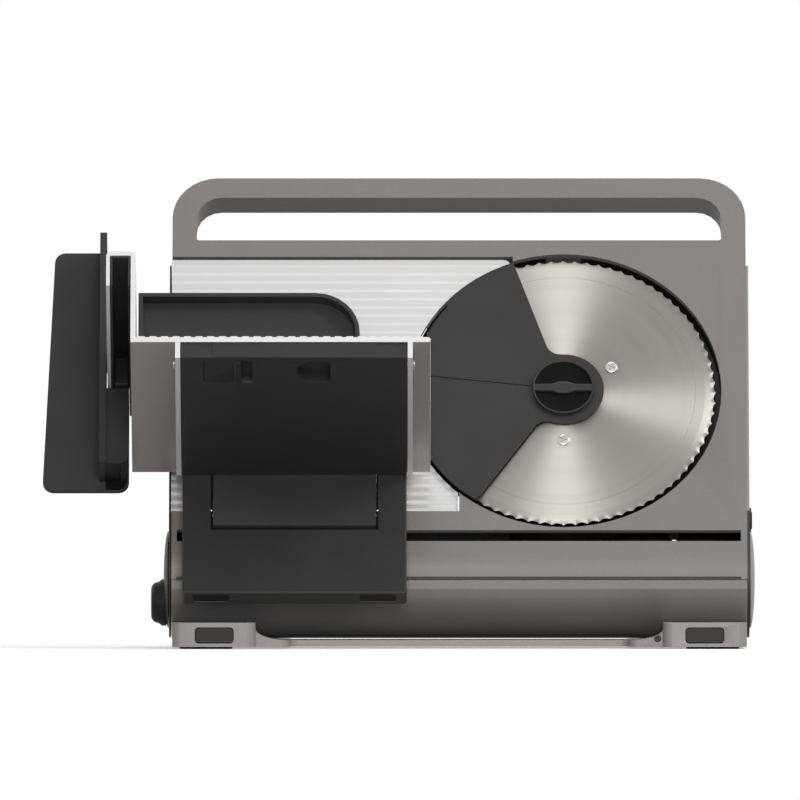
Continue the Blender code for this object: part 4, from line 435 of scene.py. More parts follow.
@dataclass(frozen=True)
class Zone:
    """Part of a piece where direction · (place - panel's origin) is below each of its limits."""

    colour: str
    limits: tuple[tuple[np.ndarray, float], ...]

    def over(self, batch: Batch, tone: Socket) -> Socket:
        """Lays the zone's colour over a tone.

        Args:
            batch: The material that is being mixed.
            tone: Colour of the rest of the piece.

        Returns:
            The socket with both.
        """
        tree = batch.tree
        start = add(tree, "ShaderNodeVectorMath", {0: batch.place, 1: tuple(PANEL_ORIGIN)},
                    operation="SUBTRACT").outputs[0]
        share: Socket | float = 1.0
        for direction, limit in self.limits:
            reach = add(tree, "ShaderNodeVectorMath", {0: start, 1: tuple(direction)},
                        operation="DOT_PRODUCT").outputs["Value"]
            below = add(tree, "ShaderNodeMath", {0: reach, 1: limit}, operation="LESS_THAN").outputs[0]
            share = add(tree, "ShaderNodeMath", {0: below, 1: share}, operation="MULTIPLY").outputs[0]
        return add(tree, "ShaderNodeMix", {0: share, 6: tone, 7: linear(self.colour)},
                   data_type="RGBA").outputs[2]


# The panel's inside, painted nearly black as the shade seen through its openings
PANEL_INSIDE_SHADE = Zone("1C1B1A", ((OUT, -0.0035), (UP_PANEL, 0.19), (ALONG, 0.157), (-ALONG, 0.157)))
# The lower end of the right side plate, which shows as a dark ring round the drum's cap
DRUM_END = Zone("2A2928", ((UPRIGHT, 0.0222),))
# The slab's lower edge, painted paler than its face as the light that it catches
SLAB_EDGE_LIGHT = Zone("4E4B48", ((UP_PANEL, -0.0352),))
# The underside of the guard's block, painted black as shade, as an opening would show
BLOCK_UNDER_SHADE = Zone("0C0C0C", ((UP_PANEL, 0.0364), (-UP_PANEL, -0.0358), (-OUT, -0.0138),
                              (-ALONG, 0.1965)))
# The underside of the table, painted darker than its top as shade
TABLE_UNDER_SHADE = Zone("98938F", ((UP_PANEL, 0.0492), (-UP_PANEL, -0.0488), (OUT, 0.1461)))


@dataclass(frozen=True)
class SatinPaint:
    """Metallic paint on cast and sheet aluminium.

    Sprayed flakes give the grey a fine sparkle, and the paint's soft orange peel blurs what it mirrors.
    """

    name: str
    colour: str
    flake: str
    roughness: float = 0.5
    metallic: float = 0.2
    flake_mm: float = 0.35      # real flakes are about 0.05 mm: drawn coarser so that they show
    peel_mm: float = 1.6
    cloud_mm: float = 40
    cloud: str = "5A5754"
    flake_share: tuple[float, ...] = (0.35, 0.7, 0.0, 0.55)
    cloud_share: tuple[float, ...] = (0.3, 0.7, 0.0, 0.12)
    spread: tuple[float, float] = (0.05, 0.06)
    relief: float = 0.12
    relief_mm: float = 0.05
    zone: Zone | None = None

    def make(self) -> bpy.types.Material:
        """Builds the material.

        Returns:
            The finished material.
        """
        batch = Batch(self.name)
        flakes, clouds, peel = (
            add(batch.tree, "ShaderNodeTexNoise",
                {"Vector": batch.place, "Scale": per_mm(size), "Detail": detail}).outputs[0]
            for size, detail in ((self.flake_mm, 2.0), (self.cloud_mm, 3.0), (self.peel_mm, 2.0)))
        tone = batch.tone(flakes, self.flake_share, self.colour, self.flake)
        tone = batch.tone(clouds, self.cloud_share, tone, self.cloud)
        if self.zone:
            tone = self.zone.over(batch, tone)
        batch.surface(tone, flakes, self.roughness, self.spread)
        height = add(batch.tree, "ShaderNodeMath", {0: peel, 1: flakes}, operation="ADD").outputs[0]
        batch.relief(height, self.relief, self.relief_mm)
        return batch.done(Metallic=self.metallic)


@dataclass(frozen=True)
class MouldedPlastic:
    """Moulded ABS, nylon or rubber.

    The mould's spark-eroded grain breaks up the shine, and the flow of the melt leaves faint clouds.
    """

    name: str
    colour: str
    light: str
    roughness: float = 0.48
    grain_mm: float = 0.45      # a real grain is about 0.1 mm: drawn coarser so that it shows
    relief_mm: float = 0.03
    specular: float = 0.2
    cloud_mm: float = 25
    cloud_share: tuple[float, ...] = (0.35, 0.65, 0.15, 0.5)
    spread: tuple[float, float] = (0.07, 0.08)
    relief: float = 0.35
    zone: Zone | None = None

    def make(self) -> bpy.types.Material:
        """Builds the material.

        Returns:
            The finished material.
        """
        batch = Batch(self.name)
        grain, clouds = (
            add(batch.tree, "ShaderNodeTexNoise",
                {"Vector": batch.place, "Scale": per_mm(size), "Detail": detail}).outputs[0]
            for size, detail in ((self.grain_mm, 3.0), (self.cloud_mm, 4.0)))
        pits = add(batch.tree, "ShaderNodeTexVoronoi",
                   {"Vector": batch.place, "Scale": per_mm(self.grain_mm * 1.4)}).outputs["Distance"]
        tone = batch.tone(clouds, self.cloud_share, self.colour, self.light)
        if self.zone:
            tone = self.zone.over(batch, tone)
        batch.surface(tone, grain, self.roughness, self.spread)
        height = add(batch.tree, "ShaderNodeMath", {0: grain, 1: pits}, operation="ADD").outputs[0]
        batch.relief(height, self.relief, self.relief_mm)
        return batch.done(Specular_IOR_Level=self.specular)


@dataclass(frozen=True)
class AnodisedAluminium:
    """Extruded and anodised aluminium.

    The die's faint drawn lines streak a satin silver along the extrusion.
    """

    name: str
    colour: str
    line: str
    stretch: tuple[float, float, float]     # along x, out and up the panel: small along the lines
    roughness: float = 0.36
    line_mm: float = 0.3        # real lines are about 0.05 mm wide: drawn coarser so that they show
    metallic: float = 0.35
    line_share: tuple[float, ...] = (0.3, 0.7, 0.0, 0.6)
    spread: tuple[float, float] = (0.06, 0.08)
    relief: float = 0.2
    relief_mm: float = 0.03
    zone: Zone | None = None

    def make(self) -> bpy.types.Material:
        """Builds the material.

        Returns:
            The finished material.
        """
        batch = Batch(self.name)
        tree = batch.tree
        leaning = add(tree, "ShaderNodeMapping", {"Vector": batch.place, "Rotation": (LEAN, 0, 0)})
        drawn = add(tree, "ShaderNodeMapping", {"Vector": leaning.outputs[0], "Scale": self.stretch})
        lines = add(tree, "ShaderNodeTexNoise",
                    {"Vector": drawn.outputs[0], "Scale": per_mm(self.line_mm), "Detail": 2.0}).outputs[0]
        tone = batch.tone(lines, self.line_share, self.colour, self.line)
        if self.zone:
            tone = self.zone.over(batch, tone)
        batch.surface(tone, lines, self.roughness, self.spread)
        batch.relief(lines, self.relief, self.relief_mm)
        return batch.done(Metallic=self.metallic)


@dataclass(frozen=True)
class GroundSteel:
    """Stainless steel ground in circles about the blade's axis.

    The fine grooves draw the light out into rays across them.
    """

    name: str
    colour: str
    dark: str
    centre: tuple[float, float, float]
    roughness: float = 0.42
    anisotropy: float = 0.93
    groove_mm: float = 0.35     # real grooves are about 0.02 mm apart: drawn coarser so that they show
    band_mm: float = 6
    groove_share: tuple[float, ...] = (0.3, 0.7, 0.0, 0.5)
    spread: tuple[float, float] = (0.04, 0.06)
    relief: float = 0.3
    relief_mm: float = 0.02

    def make(self) -> bpy.types.Material:
        """Builds the material.

        Returns:
            The finished material.
        """
        batch = Batch(self.name)
        tree = batch.tree
        arm = add(tree, "ShaderNodeVectorMath", {0: batch.place, 1: self.centre}, operation="SUBTRACT")
        radius = add(tree, "ShaderNodeVectorMath", {0: arm.outputs[0]}, operation="LENGTH")
        ring = add(tree, "ShaderNodeCombineXYZ", {0: radius.outputs["Value"]}).outputs[0]
        grooves, bands = (
            add(tree, "ShaderNodeTexNoise",
                {"Vector": ring, "Scale": per_mm(size), "Detail": detail}).outputs[0]
            for size, detail in ((self.groove_mm, 3.0), (self.band_mm, 2.0)))
        tone = batch.tone(grooves, self.groove_share, self.colour, self.dark)
        batch.surface(tone, bands, self.roughness, self.spread)
        batch.relief(grooves, self.relief, self.relief_mm)
        tangent = add(tree, "ShaderNodeTangent", direction_type="UV_MAP", uv_map=TURNING_MAP)
        tree.links.new(tangent.outputs[0], batch.shader.inputs["Tangent"])
        return batch.done(Metallic=1.0, Anisotropic=self.anisotropy, Anisotropic_Rotation=0.25)


@dataclass(frozen=True)
class BrightSteel:
    """Turned and zinc-plated steel of pins, rods and screws.

    It is bright, and the tool's marks keep its glints short.
    """

    name: str
    colour: str
    mark: str
    roughness: float = 0.28
    mark_mm: float = 0.5        # real marks are about 0.1 mm apart: drawn coarser so that they show
    mark_share: tuple[float, ...] = (0.3, 0.7, 0.0, 0.4)
    spread: tuple[float, float] = (0.06, 0.08)
    relief: float = 0.15
    relief_mm: float = 0.03

    def make(self) -> bpy.types.Material:
        """Builds the material.

        Returns:
            The finished material.
        """
        batch = Batch(self.name)
        marks = add(batch.tree, "ShaderNodeTexNoise",
                    {"Vector": batch.place, "Scale": per_mm(self.mark_mm), "Detail": 3.0}).outputs[0]
        tone = batch.tone(marks, self.mark_share, self.colour, self.mark)
        batch.surface(tone, marks, self.roughness, self.spread)
        batch.relief(marks, self.relief, self.relief_mm)
        return batch.done(Metallic=1.0)


class Finishes:
    """The materials of the machine: one for each slot of the record, and those of single pieces."""

    def __init__(self) -> None:
        """Makes the materials."""
        self.made: dict[Slot | Special, bpy.types.Material] = {key: finish.make() for key, finish in {
            # The panel's inside is painted nearly black as shade
            Slot.PANEL: SatinPaint("painted_panel_aluminium", "716D6A", "8A8683", zone=PANEL_INSIDE_SHADE),
            Slot.SHELL: SatinPaint("painted_housing_aluminium", "7B7774", "96928F", 0.36, 0.45),
            Slot.LEG: SatinPaint("painted_cast_legs", "8A8682", "A5A19D", 0.48),
            Slot.DARK: MouldedPlastic("moulded_charcoal_plastic", "2F2E2C", "383735"),
            # The slab's lower edge is painted paler as light
            Slot.SLAB: MouldedPlastic("moulded_carriage_plastic", "2B2B2B", "343433", 0.44,
                                      zone=SLAB_EDGE_LIGHT),
            # The table's underside is painted darker as shade
            Slot.LIGHT: AnodisedAluminium("anodised_table_aluminium", "E4E2E1", "D2CFCD",
                                          (1.0, 0.02, 1.0), zone=TABLE_UNDER_SHADE),
            Slot.BLADE: GroundSteel("ground_blade_steel", "9F9B95", "8B8781", tuple(BLADE_CENTRE)),
            Slot.BRIGHT: BrightSteel("turned_bright_steel", "C9C7C3", "8A8885"),
            Slot.RUBBER: MouldedPlastic("moulded_foot_rubber", "1D1D1C", "262625", 0.75, 0.6, 0.05, 0.25),
            Slot.NYLON: MouldedPlastic("natural_gear_nylon", "D3CDBE", "C4BDAC", 0.4, 0.8, 0.02, 0.45),
            Special.GAUGE: AnodisedAluminium("anodised_gauge_aluminium", "D3D1CF", "C2C0BE",
                                             (0.02, 1.0, 1.0)),
            Special.KNOB: MouldedPlastic("moulded_knob_black", "191919", "222222"),
            # Black that stands for shade: the knob's dish, the sheet behind the blade's rim, the notch's
            # strips and the sheet under the guard's block are painted with it
            Special.PAINTED_SHADE: MouldedPlastic("painted_shade_black", "0E0E0E", "161615", 0.6, specular=0.05),
            # The guard's block has its underside painted black as shade
            Special.GUARD: MouldedPlastic("moulded_guard_plastic", "2F2E2C", "383735", zone=BLOCK_UNDER_SHADE),
            # Dark grey steel: the base's screw, which shows dark, and the motor shaft and worm bearing,
            # painted dark as the shade inside the housing
            Special.DARK_STEEL_AND_SHADE: SatinPaint("dark_screw_and_shaded_steel", "3A3937", "4A4846"),
            Special.SIDE_PLATE: SatinPaint("painted_side_plate", "8A8682", "A5A19D", zone=DRUM_END),
            # Nylon painted dark as the shade inside the housing, for the reduction gear seen through the
            # slot
            Special.SHADE_DARKENED: MouldedPlastic("shade_darkened_gear_nylon", "45413A", "39362F", 0.3, 0.8, 0.02),
        }.items()}

    def dress(self, obj: Piece, slot: Slot, special: Special | None = None) -> None:
        """Gives an object one material.

        Args:
            obj: A solid of the frame, or a new piece.
            slot: The material's slot.
            special: Finish that stands in for the slot's common one.
        """
        material = self.made[special or slot]
        if not obj.material_slots:
            obj.data.materials.append(material)
        for held in obj.material_slots:
            held.material = material


@dataclass
class SubAssembly:
    """Pieces that ride on one body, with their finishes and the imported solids."""

    frame: dict[str, Any]
    finishes: Finishes
    body: str

    def node(self, name: str) -> Piece:
        """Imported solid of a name."""
        return self.frame["nodes"][name]

    def paint(self, slot: Slot, *nodes: str, special: Special | None = None) -> None:
        """Gives solids that stay as they are their finish.

        Args:
            slot: The finish.
            nodes: Names of the solids.
            special: Finish that stands in for the slot's common one.
        """
        for name in nodes:
            self.finishes.dress(self.node(name), slot, special)
            LOG.info("%s is dressed on %s", name, self.body)

    def fit(self, piece: Piece, slot: Slot, *nodes: str, special: Special | None = None) -> None:
        """Dresses a new piece, fixes it to the body, and hides the solids that it stands for.

        Args:
            piece: The new piece.
            slot: Its finish.
            nodes: Names of the solids that it replaces.
            special: Finish that stands in for the slot's common one.
        """
        self.finishes.dress(piece, slot, special)
        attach(piece, self.body)
        if nodes:
            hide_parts(*nodes)
        LOG.info("%s rides on %s", piece.name, self.body)

    def round_over(self, name: str, slot: Slot, width: float, segments: int = 2,
                   special: Special | None = None) -> None:
        """Replaces a solid by a copy with rounded edges.

        Args:
            name: Name of the solid.
            slot: Finish of the copy.
            width: Width of the rounding, in metres.
            segments: Faces across the rounding.
            special: Finish that stands in for the slot's common one.
        """
        piece = softened(f"{name}_moulded", self.node(name), width, segments)
        self.fit(piece, slot, name, special=special)


@dataclass
class Cutter(SubAssembly):
    """Ground and scalloped blade with its three screws."""

    radius: float = 0.085
    bevel: float = 0.006
    front: float = -0.0016
    back: float = -0.0031
    edge: float = 0.0003
    bore: float = 0.009
    front_rings: tuple[float, ...] = (0.02, 0.045, 0.062)
    back_rings: tuple[float, ...] = (0.075, 0.04)
    bevel_rings: int = 9
    teeth: int = 80
    tooth_depth: float = 0.0013
    tooth_hollow: float = 0.00035
    tooth_reach: float = 0.55       # share of the bevel's width that a tooth's hollow takes up
    tooth_fade: float = 1.5
    steps_per_tooth: int = 10
    groove_inner: float = 0.0722
    groove_outer: float = 0.0736
    groove_depth: float = 0.00012
    screw_circle: float = 0.031
    screw_radius: float = 0.0034
    screw_foot: float = 0.0003
    screw_height: float = 0.0008
    screw_crown: float = 0.0004
    screw_chamfer: float = 0.0003
    screw_first: float = math.radians(30)
    screw_count: int = 3
    recess_depth: float = 0.0006
    recess_reach: float = 0.62      # share of the screw's radius
    recess_half: float = 0.00042
    recess_turn: float = 0.4

    def profile(self) -> list[tuple[float, float]]:
        """Works out the blade's section, from the bore over the front to the edge and back.

        Returns:
            Radius and height of each point.
        """
        low, high, soft = self.groove_inner, self.groove_outer, self.groove_depth
        rim, drop = self.radius - self.bevel, self.back + self.edge - self.front
        front = [(radius, self.front) for radius in (self.bore, *self.front_rings)]
        groove = [(low - soft, self.front), (low, self.front - soft), (high, self.front - soft),
                  (high + soft, self.front), (rim - soft, self.front)]
        bevel = [(rim + self.bevel * s, self.front + drop * s)
                 for s in np.linspace(0, 1, self.bevel_rings)]
        back = [(radius, self.back) for radius in (self.radius, *self.back_rings, self.bore)]
        return front + groove + bevel + back

    def scallop(self, radii: np.ndarray, heights: np.ndarray,
                angles: np.ndarray) -> tuple[np.ndarray, np.ndarray]:
        """Hollows the rim: the edge goes in by depth·|sin(n·a/2)|, and the ground face sinks.

        Args:
            radii: Radius of each point.
            heights: Height of each point.
            angles: Angle of each point.

        Returns:
            New radii and heights.
        """
        wave = np.abs(np.sin(angles * self.teeth / 2))
        reach = self.tooth_reach * self.bevel
        share = np.clip((radii - (self.radius - reach)) / reach, 0, 1) ** self.tooth_fade
        ground = np.where(heights > self.back + self.edge / 2, share, 0)
        sunk = self.tooth_hollow * wave * ground * (1 - ground)
        return radii - self.tooth_depth * wave * share, heights - sunk

    def turning_marks(self, piece: Piece) -> None:
        """Adds a UV map whose U runs round the axis, for the direction of the grinding.

        Args:
            piece: The blade.
        """
        mesh = piece.data
        layer = mesh.uv_layers.new(name=TURNING_MAP)
        points = np.empty(len(mesh.vertices) * 3)
        mesh.vertices.foreach_get("co", points)
        points = points.reshape(-1, 3) - BLADE_CENTRE
        corners = np.empty(len(mesh.loops), int)
        mesh.loops.foreach_get("vertex_index", corners)
        turn = np.arctan2(points @ UP_PANEL, points @ ALONG)[corners] / (2 * np.pi)
        starts = np.empty(len(mesh.polygons), int)
        sizes = np.empty(len(mesh.polygons), int)
        mesh.polygons.foreach_get("loop_start", starts)
        mesh.polygons.foreach_get("loop_total", sizes)
        turn = turn - np.round(turn - np.repeat(turn[starts], sizes))
        reach = np.linalg.norm(points[corners], axis=1) / self.radius
        layer.data.foreach_set("uv", np.stack([turn, reach], axis=1).ravel())

    def screw(self, index: int) -> Piece:
        """Raised countersunk screw with a cross recess, crowned by crown·(r/R)³.

        Args:
            index: Number of the screw, from zero.

        Returns:
            The new object.
        """
        turn = self.screw_first + index * 2 * math.pi / self.screw_count
        place = BLADE_CENTRE + self.screw_circle * (math.cos(turn) * ALONG + math.sin(turn) * UP_PANEL)
        radius, low = self.screw_radius, self.front + self.screw_foot
        top = low + self.screw_height
        deep, crown, reach = self.recess_depth, self.screw_crown, self.recess_reach
        profile = [(0.0, top - deep)] + [(radius * s, top - deep * (s < reach) - crown * s ** 3)
                                         for s in np.linspace(0.08, 0.95, 22)]
        profile += [(radius, low + self.screw_chamfer), (radius, low), (0.0, low)]

        def recess(radii: np.ndarray, heights: np.ndarray,
                   angles: np.ndarray) -> tuple[np.ndarray, np.ndarray]:
            """Fills the round recess outside the four arms of the cross.

            Args:
                radii: Radius of each point.
                heights: Height of each point.
                angles: Angle of each point.

            Returns:
                The same radii, and new heights.
            """
            turns = angles + self.recess_turn
            across = np.minimum(np.abs(np.sin(turns)), np.abs(np.cos(turns))) * radii
            outside = (across > self.recess_half) & (radii < reach * radius) & (heights > low)
            return radii, np.where(outside, top - crown * (radii / radius) ** 3, heights)

        return turned(f"blade_screw_head_{index + 1}", profile, place, steps=48, shape=recess)

    def build(self) -> None:
        """Builds the blade and its screws."""
        steps = self.teeth * self.steps_per_tooth
        blade = turned("blade_ground", self.profile(), BLADE_CENTRE, steps=steps, shape=self.scallop,
                       smooth=25)
        self.turning_marks(blade)
        self.fit(blade, Slot.BLADE, "blade")
        for index in range(self.screw_count):
            self.fit(self.screw(index), Slot.BRIGHT, f"blade_screw_{index + 1}")


@dataclass
class LockKnob(SubAssembly):
    """Dished knob of the blade's lock, with a grip bar that swells into a boss."""

    radius: float = 0.0172
    low: float = 0.0018
    high: float = 0.0043
    dish: float = 0.0025
    rim: float = 0.0013
    shank: float = 0.0045
    shank_low: float = 0.0008
    bowl_rise: float = 0.0012
    chamfer: float = 0.0002
    lip_inner: float = 0.0005
    lip_outer: float = 0.0004
    lip_drop: float = 0.0005
    seat: float = 0.0001            # how far the pieces reach into each other
    bar_half: float = 0.0022
    bar_drop: float = 0.0003
    bar_crown: float = 0.0004
    boss_half: float = 0.0036
    boss_reach: float = 0.0060
    boss_spread: float = 1.25
    bar_foot: float = 0.0004

    def bar(self, inner: float, floor: float) -> Piece:
        """Grip bar across the dish: its half width is bar + (boss - bar)·smooth(1.25 - |x|/reach).

        Args:
            inner: Radius of the dish.
            floor: Height of its lowest place.

        Returns:
            The new object.
        """
        x = np.linspace(-inner, inner, 97)[None, :]
        across = np.linspace(-1, 1, 17)[:, None]
        swell = np.clip(self.boss_spread - np.abs(x) / self.boss_reach, 0, 1)
        half = self.bar_half + (self.boss_half - self.bar_half) * swell * swell * (3 - 2 * swell)
        top = self.high - self.bar_drop - self.bar_crown * across ** 8
        x, t = BLADE_X + x + 0 * across, BLADE_T + half * across
        return slab("lock_knob_bar", on_panel(x, t, top), on_panel(x, t, floor - self.bar_foot), 50)

    def build(self) -> None:
        """Builds the knob: its ring, the dish, painted black as the shade of a deep well, whose floor rises
        by rise·(r/R)⁴, and the bar.
        """
        inner = self.radius - self.rim
        floor = self.high - self.dish
        small = self.chamfer
        ring = [(0.0, floor - small), (inner, floor - small), (inner + small, self.high - small),
                (inner + self.lip_inner, self.high), (self.radius - self.lip_outer, self.high),
                (self.radius, self.high - self.lip_drop), (self.radius, self.low + small),
                (self.radius - small, self.low), (self.shank, self.low), (self.shank, self.shank_low),
                (0.0, self.shank_low)]
        knob = turned("lock_knob_ring", ring, BLADE_CENTRE, steps=192, smooth=40)
        self.fit(knob, Slot.DARK, "blade_knob")
        bowl = [(inner * s, floor + self.bowl_rise * s ** 4) for s in np.linspace(0, 1, 32)]
        bowl += [(inner, floor - self.seat), (0.0, floor - self.seat)]
        dish = turned("lock_knob_dish", bowl, BLADE_CENTRE, steps=192)
        # The dish is painted black as the shade of a deep well
        self.fit(dish, Slot.DARK, special=Special.PAINTED_SHADE)
        self.fit(self.bar(inner + self.seat, floor), Slot.DARK)


@dataclass
class SectorCover(SubAssembly):
    """Dark sector plate over the blade, in two halves that meet at a fine seam."""

    seam_turn: float = math.radians(173.6)
    seam_half: float = 0.00028
    seam_from: float = 0.0175
    seam_depth: float = 0.0006
    seam_draft: float = 0.00002
    rim_turns: tuple[float, float] = (math.radians(196), math.radians(235.4))
    rim_inner: float = 0.0836
    rim_outer: float = 0.0862
    rim_front: float = 0.00148
    rim_back: float = 0.0001

    def rim(self) -> Piece:
        """Outer edge of the cover's lower end, which reaches over the teeth.

        Returns:
            The new object.
        """
        turn = np.linspace(*self.rim_turns, 41)[:, None]
        radii = np.linspace(self.rim_inner, self.rim_outer, 3)[None, :]
        x, t = BLADE_X + radii * np.cos(turn), BLADE_T + radii * np.sin(turn)
        return slab("cover_rim", on_panel(x, t, self.rim_front), on_panel(x, t, self.rim_back))

    def build(self) -> None:
        """Builds the cover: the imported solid, with a groove cut along a line from the axle to the rim."""
        outward = math.cos(self.seam_turn) * ALONG + math.sin(self.seam_turn) * UP_PANEL
        across = math.cos(self.seam_turn) * UP_PANEL - math.sin(self.seam_turn) * ALONG
        mesh, bm = merged("sector_cover", self.node("blade_cover"))
        for offset, normal in ((-self.seam_half * across, across), (self.seam_half * across, across),
                               (self.seam_from * outward, outward)):
            bmesh.ops.bisect_plane(bm, geom=bm.verts[:] + bm.edges[:] + bm.faces[:],
                                   plane_co=Vector(BLADE_CENTRE + offset), plane_no=Vector(normal))
        strip = []
        for face in bm.faces:
            arm = np.array(face.calc_center_median()) - BLADE_CENTRE
            in_seam = abs(arm @ across) < self.seam_half and arm @ outward > self.seam_from
            if in_seam and face.normal.dot(Vector(OUT)) > 0.5:
                strip.append(face)
        bmesh.ops.inset_region(bm, faces=strip, thickness=self.seam_draft, depth=-self.seam_depth)
        self.fit(written("sector_cover", mesh, bm, 30), Slot.DARK, "blade_cover")
        self.fit(self.rim(), Slot.DARK)


@dataclass
class SideKnob(SubAssembly):
    """Smooth tapered knob of the slice thickness, with a pointer line in its face."""

    radius: float = 0.0130
    taper: float = 0.0016
    collar_inset: float = 0.0012
    collar_step: float = 0.0004
    collar_chamfer: float = 0.0006
    foot: float = 0.0003
    round_reach: float = 0.004
    bore: float = 0.0023
    pointer_half: float = 0.0006
    pointer_deep: float = 0.0005
    pointer_from: float = 0.002
    pointer_margin: float = 0.001
    pointer_turn: float = math.pi / 2 - LEAN

    def build(self) -> None:
        """Builds the knob: a cone with a rounded front and a fine pointer groove."""
        low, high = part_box("thickness_knob")
        centre = np.array([high[0], (low[1] + high[1]) / 2, (low[2] + high[2]) / 2])
        length, reach = high[0] - low[0], self.round_reach
        face_radius = self.radius - self.taper - reach
        collar = high[0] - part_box("side_cap_left")[0][0] - self.collar_inset
        inside, bottom = collar - self.collar_step, length / 2 + self.foot
        profile = [(face_radius * s, length) for s in np.linspace(0, 1, 24)[:-1]]
        profile += [(face_radius + reach * math.sin(a), length - reach * (1 - math.cos(a)))
                    for a in np.linspace(0, math.pi / 2, 9)]
        profile += [(self.radius, self.foot), (self.radius, collar),
                    (self.radius - self.collar_chamfer, inside), (self.bore, inside), (self.bore, bottom),
                    (0.0, bottom)]

        def pointer(radii: np.ndarray, heights: np.ndarray,
                    angles: np.ndarray) -> tuple[np.ndarray, np.ndarray]:
            """Hollows the pointer line.

            Args:
                radii: Radius of each point.
                heights: Height of each point.
                angles: Angle of each point.

            Returns:
                The same radii, and new heights.
            """
            turns = angles - self.pointer_turn
            across, ahead = np.abs(radii * np.sin(turns)), radii * np.cos(turns)
            line = (across < self.pointer_half) & (ahead > self.pointer_from)
            line &= (ahead < face_radius - self.pointer_margin) & (heights > length - 0.1 * MM)
            return radii, heights - self.pointer_deep * line

        axes = (-FORWARD, UPRIGHT, -ALONG)
        knob = turned("thickness_knob_tapered", profile, centre, axes, 240, pointer, 40)
        self.fit(knob, Slot.DARK, "thickness_knob", special=Special.KNOB)


